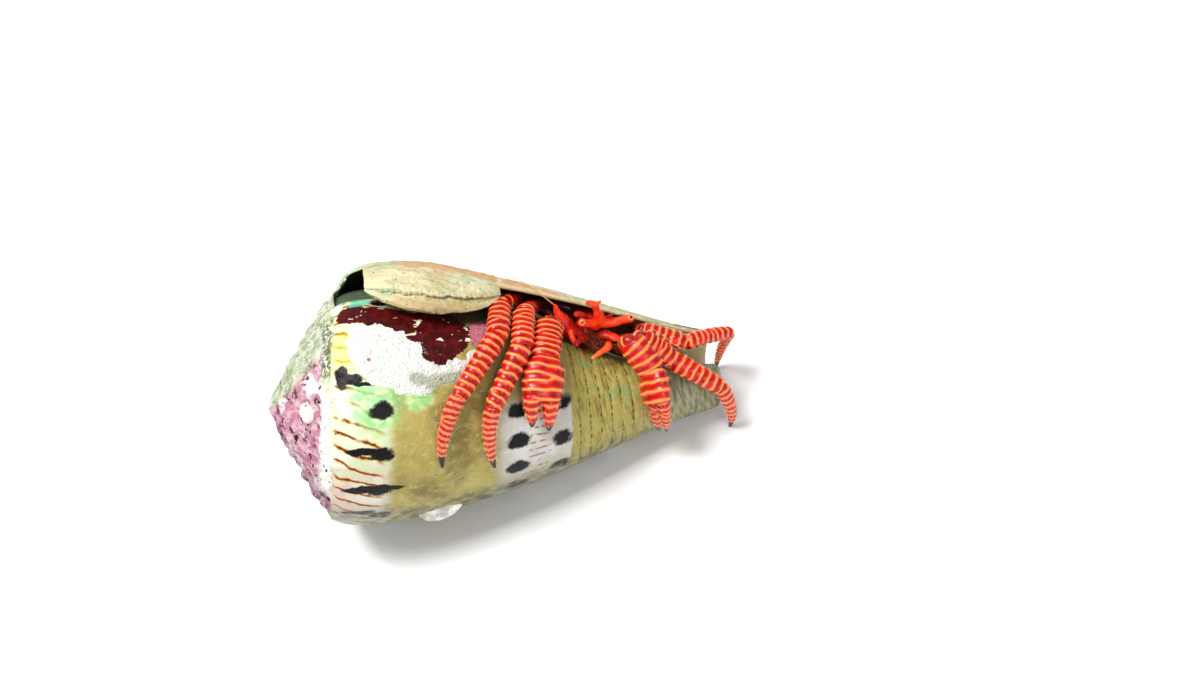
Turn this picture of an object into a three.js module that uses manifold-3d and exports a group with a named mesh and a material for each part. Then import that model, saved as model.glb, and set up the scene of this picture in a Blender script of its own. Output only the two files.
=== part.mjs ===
// A striped hermit crab at life size, looking out of the worn cone shell that it lives in.
// Millimetres, +Z up, +X from the shell's pointed top (its apex) toward its narrow front end.
// The origin lies on the floor, on the flat that the shell's widest turn rests on.
import * as THREE from "three";
import { LoftGeometry } from "three/addons/geometries/LoftGeometry.js";
import { ParametricGeometry } from "three/addons/geometries/ParametricGeometry.js";
import { mergeVertices } from "three/addons/utils/BufferGeometryUtils.js";
import Module from "manifold-3d";

const wasm = await Module();
wasm.setup();
const { degToRad, lerp, smoothstep } = THREE.MathUtils;

// ---------------------------------------------------------------- the shell's sizes
// Places on the shell: "along" is the distance from the apex down the axis, "angle" goes round the
// axis (0 up, 90 to the front), "radius" is out from the axis, and "turn" counts from the lip inward.
const SHELL_PITCH = 15.5; // the axis dips toward the narrow end, as a cone lies on a floor
const APEX_TO_ORIGIN = 34; // level distance from the apex to the origin
const REST_DEPTH = 0.5; // how deep the rest flats are worn into what touches the floor
const LIP_ANGLE = -14;
const SHOULDER = { along: 12.6, radius: 19.55 };
const SIDE = [ // the lip's outline, from the shoulder to the narrow end: [along, radius]
  [SHOULDER.along, SHOULDER.radius], [15, 20.6], [20, 21], [26, 20.3], [32, 18.6], [38, 16.95],
  [44, 15.1], [50, 13], [56, 10.85], [62, 8.75], [68.4, 7],
];
const NARROW_END = SIDE.at(-1)[0];
const GROWTH = 1.232; // how much wider the spiral gets in one turn, at the shoulder
const FRONT_GROWTH = 0.356; // what the narrow end adds to that
const SHOULDER_LEAN = { size: 1.8, angle: -44 }; // the shoulder's level dips opposite this angle
const ROOF_CURVE = 1.25; // above 1, the spire's side swells a little
const CORE_THINNING = 0.62; // the turn inside the mouth is worn thin toward the narrow end
const WALL = 0.9;
const CHANNEL_END_TURN = 0.78;
const NOTCH = { from: 9.5, to: 15.3, turn: 0.05 }; // the lip's step back under the shoulder
const PLATE = { from: 15, to: 34.2, turn: 0.05, reach: 17.5, edgeAngle: -10, thick: 1.7 };
const GAP = 0.3; // between neighbouring solids
const JOINT_ROOM = 0.7; // what a bend of a right angle adds to a limb piece's setback

// ---------------------------------------------------------------- the crab's sizes
const BODY_CENTRE = 49.8; // where the crab's midline crosses the mouth, along the shell
const SHIELD = { halfWidth: 3.1, length: 0.11 }; // length in turns of the shell
const LEG = { width: 3.0, thick: 2.5 };
const FAR_LEG = { width: 2.6, thick: 2.2 };
const UPPER_ARM = { width: 2.9, thick: 2.5 };
const ARM = { width: 4.3, thick: 3.0 };
const PALM = { width: 6.2, thick: 3.6 };
const FINGER = { width: 2.7, thick: 2.2 };
const SOCKET = { width: FINGER.width + 0.8, thick: FINGER.thick + 1.4 }; // room for the finger
const EYESTALK = { radius: 0.62, eye: 0.66 };
const FEELER_RADIUS = 0.27;

// How thick a limb's pieces are along their length: [place from 0 to 1, share of the full size].
const MERUS = [[0, 0.5], [0.12, 0.62], [0.6, 0.7], [0.92, 0.84], [1, 0.55]];
const CARPUS = [[0, 0.6], [0.1, 0.96], [0.45, 1.04], [0.85, 1.02], [1, 0.62]];
const PROPODUS = [[0, 0.62], [0.08, 1.04], [0.4, 1.02], [0.8, 0.93], [0.95, 0.82], [1, 0.55]];
const DACTYL = [[0, 0.5], [0.07, 0.76], [0.35, 0.7], [0.65, 0.52], [0.87, 0.32], [1, 0.17]];
const HAND = [[0, 0.45], [0.07, 0.76], [0.3, 0.96], [0.62, 1], [0.9, 0.92], [1, 0.72]];
const CLAW_FINGER = [[0, 0.72], [0.15, 0.98], [0.5, 0.8], [0.8, 0.5], [1, 0.2]];

// Each limb runs through its joints: [along, angle, radius] on the shell, from the body outward.
// The upper piece, the merus, curves toward its bend place, and the last one, the dactyl, bows
// outward and sideways.
const WALKING_LEGS = {
  right_2: { size: LEG, bend: [42, -36, 13.8], dactylBow: [0.6, -0.7],
    joints: [[46.2, -28, 11.9], [37.7, -2, 15.3], [36.4, 23, 16.3], [31.4, 51.9, 17.2], [31.6, 87, 16.3]] },
  right_3: { size: LEG, bend: [41, -53, 15.2], dactylBow: [0.6, -0.9],
    joints: [[45.5, -48, 12], [34.5, -9, 15.6], [33.1, 16.5, 16.7], [26.6, 45.8, 18.2], [23.9, 79.5, 17.8]] },
  left_2: { size: LEG, bend: [54.6, -8, 8], dactylBow: [0.6, 0.8],
    joints: [[54.1, -22, 6.2], [55.2, 10, 11.2], [60, 26, 8], [67.1, 59.5, 8.1], [70.2, 134, 8.5]] },
  left_3: { size: FAR_LEG, bend: [55.8, -28, 8.4], dactylBow: [0.7, 0],
    joints: [[55.6, -46, 8.2], [56.1, -6, 9.7], [62.4, 8.5, 8.5], [70.8, -22, 6.7], [71.1, -131, 8.9]] },
};
const CLAW_LEGS = {
  right: { joints: [[46.5, -12, 9.3], [41.3, 2, 13.8], [39.6, 29, 15.3]], bend: [43.6, -6, 11], roll: 0,
    knuckle: [38.4, 51.3, 16.2], fixed: [[36.9, 50, 16.3], [37.1, 66, 15.2]],
    moving: [[40, 52.4, 15.7], [39.6, 70.2, 14.6]] },
  left: { joints: [[52.8, -8, 5.8], [53, 15, 12], [56.2, 38, 10.2]], bend: [52.8, 6, 8.6], roll: 68,
    knuckle: [56.4, 64, 11.3], fixed: [[56.3, 66, 9.9], [57.7, 104, 9.2]],
    moving: [[57, 62, 12], [58.5, 95, 10.5]] },
};
// The head's slender parts, each from its root to its tip.
const EYESTALKS = {
  right: [[49.2, -13, 10.4], [46.1, 0, 13.0]],
  left: [[50.7, -13, 10.4], [54.4, -4.5, 12.3]],
};
const ANTENNULES = {
  right: [[47.9, -11, 9.6], [45.6, 0, 11.6], [45.6, 9, 10.8]],
  left: [[49.9, -9, 11.9], [49.3, -5, 14.0], [48.6, -3, 16.2], [47.3, -3, 16.1]],
};
const ANTENNA_BASES = {
  right: [[46.9, -13, 11], [44.8, -11, 12.3], [42.7, -8, 14.9]],
  left: [[50.6, -8, 8.8], [51.1, 1, 9.1], [51.5, 8, 9.8]],
};
const FEELERS = {
  right: [[42.6, -7.5, 15.6], [39.8, -4, 17.9], [37.2, 0, 20.6], [36, 1, 21.8]],
  left: [[51.5, 9, 10.6], [53.2, 9, 14.2], [57.2, 14, 14.6], [61.5, 24, 11.8], [63, 28, 11.2]],
};
const MAXILLIPEDS = {
  right: [[47.9, -8, 8.2], [46.2, 4, 9.7], [45.2, 12, 10.5]],
  left: [[51, -6, 6.9], [50.2, 11, 8.8], [47.4, 23, 9.9]],
};

// ---------------------------------------------------------------- the shell's spiral
// A smooth curve through the points of a [place, size] list.
function curveThrough(points, at) {
  const last = points.length - 1;
  const slope = (i) => (points[i + 1][1] - points[i][1]) / (points[i + 1][0] - points[i][0]);
  const tangent = (i) => {
    if (i === 0) return slope(0);
    if (i === last) return slope(last - 1);
    return (slope(i - 1) + slope(i)) / 2;
  };
  let i = 0;
  while (i < last - 1 && at > points[i + 1][0]) i += 1;
  const span = points[i + 1][0] - points[i][0];
  const s = (at - points[i][0]) / span;
  const rise = s * s * (3 - 2 * s);
  return points[i][1] * (1 - rise) + points[i + 1][1] * rise
    + span * (s * (1 - s) ** 2 * tangent(i) - s * s * (1 - s) * tangent(i + 1));
}

const angleOfTurn = (turn) => LIP_ANGLE - 360 * turn;

function growthAt(along) {
  return GROWTH + FRONT_GROWTH * Math.max(0, (along - 30) / 40) ** 1.5;
}

function leanAt(turn) {
  const away = degToRad(angleOfTurn(turn) - SHOULDER_LEAN.angle);
  return -SHOULDER_LEAN.size * (1 - Math.cos(away));
}

// The outer side of the spiral at a turn, for a point of the lip's outline: [along, radius].
function sideOf(turn, place) {
  const shrink = GROWTH ** -turn;
  const nearShoulder = 1 - smoothstep(place, SHOULDER.along, 40);
  const thinning = CORE_THINNING * smoothstep(place, 36, 60) * smoothstep(turn, 0.76, 1);
  return [
    place * (1 - (1 - shrink) * nearShoulder) + leanAt(turn) * nearShoulder * shrink,
    curveThrough(SIDE, place) * growthAt(place) ** -turn * (1 - thinning),
  ];
}

// The spire's roof at a turn, with share 0 at the apex and 1 at the shoulder: [along, radius].
function roofOf(turn, share) {
  const shrink = GROWTH ** -turn;
  return [
    share ** ROOF_CURVE * (SHOULDER.along + leanAt(turn)) * shrink,
    share * SHOULDER.radius * shrink,
  ];
}

// The side's radius where it crosses a plane square to the axis.
function radiusAt(turn, along) {
  let low = SHOULDER.along;
  let high = NARROW_END + 4;
  for (let i = 0; i < 24; i += 1) {
    const middle = (low + high) / 2;
    if (sideOf(turn, middle)[0] < along) low = middle;
    else high = middle;
  }
  return sideOf(turn, Math.min(low, NARROW_END))[1];
}

// A point in the shell's frame: X along the axis, Z up, the front at -Y.
function at([along, angle, radius]) {
  const a = degToRad(angle);
  return new THREE.Vector3(along, -radius * Math.sin(a), radius * Math.cos(a));
}

// ---------------------------------------------------------------- solids
function solidOf(geometry) {
  const bare = new THREE.BufferGeometry();
  bare.setAttribute("position", geometry.getAttribute("position"));
  bare.setIndex(geometry.index);
  const merged = mergeVertices(bare, 1e-3);
  const index = merged.index.array;
  const kept = [];
  for (let i = 0; i < index.length; i += 3) {
    const [a, b, c] = index.slice(i, i + 3);
    if (a !== b && b !== c && c !== a) kept.push(a, b, c);
  }
  return new wasm.Manifold(new wasm.Mesh({
    numProp: 3,
    vertProperties: new Float32Array(merged.attributes.position.array),
    triVerts: new Uint32Array(kept),
  }));
}

function geometryOf(solid) {
  const mesh = solid.getMesh();
  const geometry = new THREE.BufferGeometry();
  geometry.setAttribute("position", new THREE.BufferAttribute(mesh.vertProperties, 3));
  geometry.setIndex(new THREE.BufferAttribute(mesh.triVerts, 1));
  const faceted = geometry.toNonIndexed();
  faceted.computeVertexNormals();
  return faceted;
}

function loft(sections) {
  return new LoftGeometry(sections, { capStart: true, capEnd: true });
}

// A rounded bar along a curve. Its profile scales the half sizes, and its flat side faces one way.
function bar(curve, profile, halfWidth, halfThick, facing, sides = 8) {
  const sections = profile.map(([place, share]) => {
    const centre = curve.getPoint(place);
    const ahead = curve.getTangent(place);
    const up = facing.clone().addScaledVector(ahead, -facing.dot(ahead)).normalize();
    const across = new THREE.Vector3().crossVectors(up, ahead);
    return Array.from({ length: sides }, (_, i) => {
      const a = (2 * Math.PI * (i + 0.5)) / sides;
      return centre.clone()
        .addScaledVector(across, halfWidth * share * Math.cos(a))
        .addScaledVector(up, halfThick * share * Math.sin(a));
    });
  });
  return loft(sections);
}

const outward = (point) => new THREE.Vector3(0, point.y, point.z).normalize();

// One piece of a limb between two joints, bowed away from the shell and sideways, and stopped
// short of each joint by its setback.
function segment(from, to, profile, size, [out, sideways], roll = 0, setbacks = [GAP / 2, GAP / 2]) {
  const ahead = to.clone().sub(from).normalize();
  const start = from.clone().addScaledVector(ahead, setbacks[0]);
  const end = to.clone().addScaledVector(ahead, -setbacks[1]);
  const middle = start.clone().add(end).multiplyScalar(0.5);
  const facing = outward(middle);
  const across = new THREE.Vector3().crossVectors(facing, ahead).normalize();
  const bend = middle.clone().addScaledVector(facing, 2 * out).addScaledVector(across, 2 * sideways);
  const curve = new THREE.QuadraticBezierCurve3(start, bend, end);
  facing.applyAxisAngle(ahead, degToRad(roll));
  return bar(curve, profile, size.width / 2, size.thick / 2, facing);
}

// The merus curves from the hip to the knee by way of its bend place.
function merus(hip, bend, knee, size, kneeSetback) {
  const ahead = knee.clone().sub(bend).normalize();
  const end = knee.clone().addScaledVector(ahead, -kneeSetback);
  const curve = new THREE.QuadraticBezierCurve3(hip, bend, end);
  return bar(curve, MERUS, size.width / 2, size.thick / 2, outward(bend));
}

// How far two pieces stop short of the joint between them: the sharper the bend, the further.
function setbackAt(before, joint, after) {
  const into = joint.clone().sub(before).normalize();
  const out = after.clone().sub(joint).normalize();
  return GAP / 2 + JOINT_ROOM * (1 - into.dot(out));
}

// A slender part of the head along a smooth curve through its places.
function slender(places, radii) {
  const curve = new THREE.CatmullRomCurve3(places.map(at));
  const steps = radii.length - 1;
  const profile = radii.map((radius, i) => [i / steps, radius]);
  return bar(curve, profile, 1, 1, outward(curve.getPoint(0.5)), 6);
}

// ---------------------------------------------------------------- the shell and its plate
const TURN_STEPS = 44;
const ROOF_SHARES = [0, 0.12, 0.3, 0.5, 0.7, 0.86, 0.96];
const SIDE_PLACES = [
  SHOULDER.along, 13.4, 15, 18, 22, 27, 32, 37, 42, 47, 52, 57, 61, 65, NARROW_END,
];
const END_SHARES = [0.62, 0];
const END_BULGE = 0.3;

// The whole spiral as one solid: the last turn steps back out to the lip.
function spiralBody() {
  const stations = [
    ...ROOF_SHARES.map((share) => (turn) => roofOf(turn, share)),
    ...SIDE_PLACES.map((place) => (turn) => sideOf(turn, place)),
    ...END_SHARES.map((share) => (turn) => {
      const [along, radius] = sideOf(turn, NARROW_END);
      return [along + END_BULGE * (1 - share), radius * share];
    }),
  ];
  const slices = TURN_STEPS + 1;
  const stacks = stations.length - 1;
  const surface = (u, v, target) => {
    const step = Math.round(u * slices);
    const turn = step > TURN_STEPS ? 0 : step / TURN_STEPS;
    const [along, radius] = stations[Math.round((1 - v) * stacks)](turn);
    target.copy(at([along, angleOfTurn(turn), radius]));
  };
  return solidOf(new ParametricGeometry(surface, slices, stacks));
}

// How far the lip is set back, in turns: at the notch, under the plate and at the narrow end.
function lipEdge(along) {
  const inNotch = smoothstep(along, NOTCH.from - 1, NOTCH.from)
    * (1 - smoothstep(along, NOTCH.to - 0.8, NOTCH.to + 0.4));
  const underPlate = smoothstep(along, PLATE.from - 0.8, PLATE.from)
    * (1 - smoothstep(along, PLATE.to, PLATE.to + 0.8));
  const rounded = 0.12 * smoothstep(along, 65, NARROW_END);
  return Math.max(NOTCH.turn * inNotch, PLATE.turn * underPlate, rounded) - 0.012;
}

// The hollow between one turn and the next, open at the mouth; it also trims the lip's edge.
function channel() {
  const turns = [-0.05, -0.012, 0.012, 0.03, 0.045, 0.06, 0.085, 0.105, 0.125, 0.16];
  while (turns.at(-1) < CHANNEL_END_TURN) turns.push(turns.at(-1) + 0.044);
  const overhang = 3;
  const places = [
    NARROW_END + overhang, NARROW_END, 66.5, 64, 60, 55, 50, 45, 40, 35, 32, 28, 24, 20, 17.5,
    15.8, 14.6, 13.4,
  ];
  const sections = turns.map((turn) => {
    const frontLimit = NARROW_END + overhang - 9 * smoothstep(turn, 0.25, 0.5);
    const reachOf = (place) => Math.min(place, frontLimit + 0.03 * (place - frontLimit));
    const outer = places.slice().reverse().map((place) => {
      const reach = reachOf(place);
      const [along, radius] = sideOf(turn, Math.min(reach, NARROW_END));
      const trimmed = turn < lipEdge(along) || turn < 0;
      const beyond = Math.max(0, reach - NARROW_END);
      return [along + beyond, trimmed ? radius + 2 : radius - WALL];
    });
    const inner = places.map((place) => {
      const reach = reachOf(place);
      const [along, radius] = sideOf(turn + 1, Math.min(reach, NARROW_END));
      const lift = turn < 0 ? 0.3 : 0.02;
      return [along + Math.max(0, reach - NARROW_END), radius + lift];
    });
    const roofCut = turn < lipEdge(SHOULDER.along) || turn < 0 ? -1.2 : WALL;
    const [roofAlong, roofRadius] = roofOf(turn, 0.95);
    const corner = [roofAlong + roofCut, roofRadius];
    const ring = [...inner, corner, ...outer];
    return ring.map(([along, radius]) => at([along, angleOfTurn(turn), radius]));
  });
  return solidOf(loft(sections));
}

// The layered plate that has grown over the lip's edge, hanging forward over the mouth.
function plateReach(along) {
  const middle = (PLATE.from + PLATE.to) / 2;
  const half = (PLATE.to - PLATE.from) / 2;
  const away = Math.min(1, Math.abs(along - middle) / half);
  return PLATE.edgeAngle + PLATE.reach * (1 - away ** 2) ** 0.8;
}

function lipPlate() {
  const steps = 12;
  const rows = [[0, 0.75], [0.35, 0.9], [0.7, 1], [0.88, 0.8], [1, 0.35]];
  const sections = Array.from({ length: steps + 1 }, (_, i) => {
    const along = lerp(PLATE.from + 0.5, PLATE.to - 0.4, i / steps);
    const back = angleOfTurn(PLATE.turn - 0.018);
    const front = plateReach(along);
    const thin = 0.6 + 0.4 * Math.sin((Math.PI * i) / steps);
    const ring = (side) => rows.map(([share, size]) => {
      const angle = lerp(back, front, share);
      const middle = radiusAt(0, along) - 0.55 - 0.3 * share;
      return at([along, angle, middle + side * (PLATE.thick / 2) * size * thin]);
    });
    return [...ring(1), ...ring(-1).reverse()];
  });
  return loft(sections);
}

// ---------------------------------------------------------------- the body in the mouth
// A soft body slice is an oval between the core (share 0) and the roof (share 1) of the channel.
function bodyOval(turn, centre, halfWidth, low, high, sides) {
  const floorShare = (along) => radiusAt(turn + 1, along) + GAP + 0.1;
  const roofShare = (along) => radiusAt(Math.max(turn, 0), along) - WALL - GAP - 0.1;
  return Array.from({ length: sides }, (_, i) => {
    const a = (2 * Math.PI * (i + 0.5)) / sides;
    const along = centre - halfWidth * Math.cos(a);
    const share = lerp(low, high, (1 + Math.sin(a)) / 2);
    const radius = lerp(floorShare(along), roofShare(along), share);
    return at([along, angleOfTurn(turn), radius]);
  });
}

// A body piece from its slices: [turn, centre along the shell, half width, low share, high share].
function bodyPiece(slices, sides = 12) {
  return loft(slices.map((slice) => bodyOval(...slice, sides)));
}

function shield() {
  const { halfWidth, length } = SHIELD;
  const bulge = [[0.007, 0.45], [0.018, 0.8], [length * 0.5, 1], [length * 0.85, 0.96], [length, 0.82]];
  return bodyPiece(bulge.map(([turn, share]) => [
    turn, BODY_CENTRE, halfWidth * share, 0.62 - 0.04 * share, 0.72 + 0.26 * share,
  ]));
}

function mouthparts() {
  const bulge = [[-0.02, 0.5], [0, 0.85], [0.05, 1], [0.1, 0.9]];
  return bodyPiece(bulge.map(([turn, share]) => [
    turn, BODY_CENTRE - 0.4, 2.5 * share, 0.28 - 0.18 * share, 0.38 + 0.13 * share,
  ]), 10);
}

function thorax() {
  const slices = [[0.12, 0.82], [0.14, 1], [0.18, 1.05], [0.215, 0.9]];
  return bodyPiece(slices.map(([turn, share]) => [
    turn, BODY_CENTRE - 22 * (turn - 0.11), 3.6 * share, 0.5 - 0.42 * share, 0.55 + 0.38 * share,
  ]));
}

// The soft tail winds up the spiral in three lengths, each a little smaller, and ends in its fan.
const TAIL = { from: 0.225, to: 0.52, lengths: 3, start: 46.6, end: 24.5, halfWidth: 4.4 };

function tailLength(order) {
  const share = (k) => (order + k) / TAIL.lengths;
  const slices = [[0.03, 0.8], [0.2, 1], [0.5, 1.03], [0.8, 1], [0.97, 0.8]];
  return bodyPiece(slices.map(([k, size]) => {
    const s = share(k);
    const width = TAIL.halfWidth * (1 - 0.42 * s) * size;
    return [lerp(TAIL.from, TAIL.to, s), lerp(TAIL.start, TAIL.end, s ** 0.9), width,
      0.5 - 0.4 * size, 0.5 + 0.4 * size];
  }), 10);
}

function tailFan() {
  const slices = [[0, 0.55], [0.3, 0.9], [0.75, 1], [1, 0.7]];
  return bodyPiece(slices.map(([k, size]) => [
    TAIL.to + 0.008 + 0.055 * k, TAIL.end - 0.4 - 3.2 * k, 2.9 * size, 0.5 - 0.28 * size, 0.5 + 0.28 * size,
  ]), 8);
}

// The two short pairs of rear legs brace against the shell's inside, beside the thorax.
function rearLeg(side, pair) {
  const turn = pair === 4 ? 0.13 : 0.185;
  const centre = BODY_CENTRE - 22 * (turn - 0.11);
  const place = (out, later, share) => {
    const along = centre + side * out;
    const t = turn + later;
    const low = radiusAt(t + 1, along) + 0.6;
    const high = radiusAt(t, along) - WALL - 0.6;
    return [along, angleOfTurn(t), lerp(low, high, share)];
  };
  const places = [place(4.7, 0, 0.35), place(6.3, -0.006, 0.5), place(7, 0.012, 0.62)];
  return slender(places, [0.42, 0.55, 0.58, 0.5, 0.34]);
}

// ---------------------------------------------------------------- materials and meshes
function finish(color, roughness) {
  return new THREE.MeshStandardMaterial({ color, roughness, metalness: 0, flatShading: true });
}
const FINISH = {
  shell: finish("#b9b48a", 0.5),
  plate: finish("#cfcda6", 0.6),
  limb: finish("#c61d12", 0.4),
  face: finish("#e2401c", 0.45),
  soft: finish("#c9794f", 0.55),
  eye: finish("#20180f", 0.1),
};

const crab = new THREE.Group();
const shellFrame = new THREE.Group();
crab.add(shellFrame);

// The height of the axis's top end: the widest turn's lowest point sinks by the depth of its flat.
function apexHeight() {
  const dip = degToRad(SHELL_PITCH);
  let lowest = 0;
  for (let turn = 0; turn < 1; turn += 0.01) {
    for (let place = SHOULDER.along; place < NARROW_END; place += 1) {
      const [along, radius] = sideOf(turn, place);
      const point = at([along, angleOfTurn(turn), radius]);
      lowest = Math.min(lowest, point.z * Math.cos(dip) - point.x * Math.sin(dip));
    }
  }
  return -lowest - REST_DEPTH;
}

shellFrame.rotation.y = degToRad(SHELL_PITCH);
shellFrame.position.set(-APEX_TO_ORIGIN, 0, apexHeight());
shellFrame.updateMatrix();

const ground = new THREE.BoxGeometry(200, 200, 20).translate(0, 0, -10);
ground.applyMatrix4(shellFrame.matrix.clone().invert());
const groundSolid = solidOf(ground);

function add(name, geometry, material) {
  const mesh = new THREE.Mesh(geometry, material);
  mesh.name = name;
  shellFrame.add(mesh);
}

// What reaches the floor is cut level with it, so it stands on a small flat.
function addStanding(name, geometry, material) {
  add(name, geometryOf(solidOf(geometry).subtract(groundSolid)), material);
}

add("shell", geometryOf(spiralBody().subtract(channel()).subtract(groundSolid)), FINISH.shell);
add("lip_plate", lipPlate(), FINISH.plate);
add("shield", shield(), FINISH.face);
add("mouthparts", mouthparts(), FINISH.face);
add("thorax", thorax(), FINISH.soft);
for (let order = 0; order < TAIL.lengths; order += 1) {
  add("abdomen_" + (order + 1), tailLength(order), FINISH.soft);
}
add("tail_fan", tailFan(), FINISH.soft);

for (const [side, sign] of [["right", -1], ["left", 1]]) {
  const [root, tip] = EYESTALKS[side].map(at);
  const ahead = tip.clone().sub(root).normalize();
  const neck = tip.clone().addScaledVector(ahead, -0.5);
  const stalk = new THREE.LineCurve3(root, neck);
  const swell = [[0, 0.95], [0.15, 1.1], [0.5, 0.92], [0.85, 1], [1, 0.8]];
  add("eyestalk_" + side, bar(stalk, swell, EYESTALK.radius, EYESTALK.radius, outward(root)), FINISH.face);
  const eye = new THREE.SphereGeometry(EYESTALK.eye, 10, 5, 0, 2 * Math.PI, 0, Math.PI / 2);
  const base = new THREE.CircleGeometry(EYESTALK.eye, 10).rotateX(Math.PI / 2);
  const turnTo = new THREE.Quaternion().setFromUnitVectors(new THREE.Vector3(0, 1, 0), ahead);
  const place = neck.clone().addScaledVector(ahead, GAP);
  const dome = solidOf(joined(eye, base));
  add("eye_" + side, geometryOf(dome).applyQuaternion(turnTo).translate(...place), FINISH.eye);
  add("antennule_" + side, slender(ANTENNULES[side], [0.45, 0.5, 0.42, 0.4, 0.34, 0.3]), FINISH.face);
  add("antenna_base_" + side, slender(ANTENNA_BASES[side], [0.5, 0.7, 0.62, 0.42, 0.3]), FINISH.face);
  const feeler = Array.from({ length: 13 }, () => FEELER_RADIUS);
  add("feeler_" + side, slender(FEELERS[side], feeler), FINISH.face);
  add("maxilliped_" + side, slender(MAXILLIPEDS[side], [0.5, 0.62, 0.6, 0.5, 0.42, 0.3]), FINISH.face);
  for (const pair of [4, 5]) add("leg_" + side + "_" + pair, rearLeg(sign, pair), FINISH.soft);
}

for (const [name, { size, bend, dactylBow, joints }] of Object.entries(WALKING_LEGS)) {
  const [hip, knee, ankle, foot, tip] = joints.map(at);
  const elbow = at(bend);
  const thin = { width: size.width * 0.9, thick: size.thick * 0.95 };
  const broad = { width: size.width * 1.08, thick: size.thick * 0.98 };
  const atKnee = setbackAt(elbow, knee, ankle);
  const atAnkle = setbackAt(knee, ankle, foot);
  const atFoot = setbackAt(ankle, foot, tip);
  const leg = "leg_" + name;
  const carpus = segment(knee, ankle, CARPUS, broad, [0.25, 0], 0, [atKnee, atAnkle]);
  const propodus = segment(ankle, foot, PROPODUS, size, [0.35, 0], 0, [atAnkle, atFoot]);
  const dactyl = segment(foot, tip, DACTYL, size, dactylBow, 0, [atFoot, 0]);
  add(leg + "_merus", merus(hip, elbow, knee, thin, atKnee), FINISH.limb);
  add(leg + "_carpus", carpus, FINISH.limb);
  add(leg + "_propodus", propodus, FINISH.limb);
  addStanding(leg + "_dactyl", dactyl, FINISH.limb);
}

for (const [side, claw] of Object.entries(CLAW_LEGS)) {
  const { roll } = claw;
  const [hip, knee, wrist] = claw.joints.map(at);
  const elbow = at(claw.bend);
  const knuckle = at(claw.knuckle);
  const atKnee = setbackAt(elbow, knee, wrist);
  const atWrist = setbackAt(knee, wrist, knuckle);
  const name = "claw_" + side;
  const carpus = segment(knee, wrist, CARPUS, ARM, [0.2, 0], roll / 2, [atKnee, atWrist]);
  const hand = segment(wrist, knuckle, HAND, PALM, [0.15, 0], roll, [atWrist, 0]);
  const fixed = segment(...claw.fixed.map(at), CLAW_FINGER, FINGER, [0.25, 0], roll);
  const moving = segment(...claw.moving.map(at), CLAW_FINGER, FINGER, [0.25, 0], roll);
  const socket = segment(...claw.moving.map(at), CLAW_FINGER, SOCKET, [0.25, 0], roll, [-GAP, 0]);
  const palm = solidOf(hand).add(solidOf(fixed)).subtract(solidOf(socket));
  add(name + "_merus", merus(hip, elbow, knee, UPPER_ARM, atKnee), FINISH.limb);
  add(name + "_carpus", carpus, FINISH.limb);
  add(name + "_palm", geometryOf(palm), FINISH.limb);
  add(name + "_finger", moving, FINISH.limb);
}

// Two open surfaces as one triangle list.
function joined(first, second) {
  const positions = [first, second].flatMap((g) => [...g.toNonIndexed().getAttribute("position").array]);
  const geometry = new THREE.BufferGeometry();
  geometry.setAttribute("position", new THREE.Float32BufferAttribute(positions, 3));
  const order = Array.from({ length: positions.length / 3 }, (_, i) => i);
  geometry.setIndex(order);
  return geometry;
}

export default crab;
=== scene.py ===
# %% [markdown]
# # A striped hermit crab in a cone shell
# The model is a museum piece at life size: a small red crab with orange rings looks out of the worn
# cone shell that it carries. Its sizes come from a solid model, which is loaded first and fixed.
# Everything made here is the finer skin over those solids: relief, layers, joints, hairs and colour.
# Lengths are thought of in millimetres and turned into metres where a point is placed.

import math
import random

import bmesh
import bpy
from mathutils import Matrix, Vector, noise


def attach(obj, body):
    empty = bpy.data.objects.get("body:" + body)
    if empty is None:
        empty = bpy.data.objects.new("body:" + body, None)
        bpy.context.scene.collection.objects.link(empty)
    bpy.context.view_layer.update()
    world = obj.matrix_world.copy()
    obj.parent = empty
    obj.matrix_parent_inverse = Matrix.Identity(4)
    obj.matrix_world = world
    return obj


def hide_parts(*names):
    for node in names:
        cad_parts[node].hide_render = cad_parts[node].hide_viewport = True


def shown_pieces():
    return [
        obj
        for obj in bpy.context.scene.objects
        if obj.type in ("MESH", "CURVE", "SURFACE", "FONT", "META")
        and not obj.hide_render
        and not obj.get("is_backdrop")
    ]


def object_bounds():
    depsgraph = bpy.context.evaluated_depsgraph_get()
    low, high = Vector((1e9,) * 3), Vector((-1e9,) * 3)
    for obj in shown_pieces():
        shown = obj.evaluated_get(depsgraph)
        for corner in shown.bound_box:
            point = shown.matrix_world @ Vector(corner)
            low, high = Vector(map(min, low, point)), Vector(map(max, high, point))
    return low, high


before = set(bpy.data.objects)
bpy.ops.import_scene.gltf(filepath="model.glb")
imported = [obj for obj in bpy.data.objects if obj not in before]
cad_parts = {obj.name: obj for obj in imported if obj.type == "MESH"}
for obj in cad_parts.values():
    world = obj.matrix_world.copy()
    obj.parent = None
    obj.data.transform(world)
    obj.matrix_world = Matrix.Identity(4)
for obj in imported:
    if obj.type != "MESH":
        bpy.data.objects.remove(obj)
cad_low, cad_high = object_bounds()
MM = 0.001
cad_size = [round((high - low) / MM, 1) for low, high in zip(cad_low, cad_high)]
print("solids:", len(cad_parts), "box mm:", cad_size)

# %% [markdown]
# ## The law of the shell
# A snail adds shell at its lip while it turns, and each turn is a fixed share larger than the one
# before. So a shell is one outline swept round an axis while it grows. The outline below runs from
# the shoulder to the narrow end. "along" is the distance down the axis from the apex, "angle" goes
# round the axis with 0 up and 90 at the front, and "turn" counts back from the lip. Writing the law
# once lets the shell, the plate on it, the crab's body and all the markings share one set of places.

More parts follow.
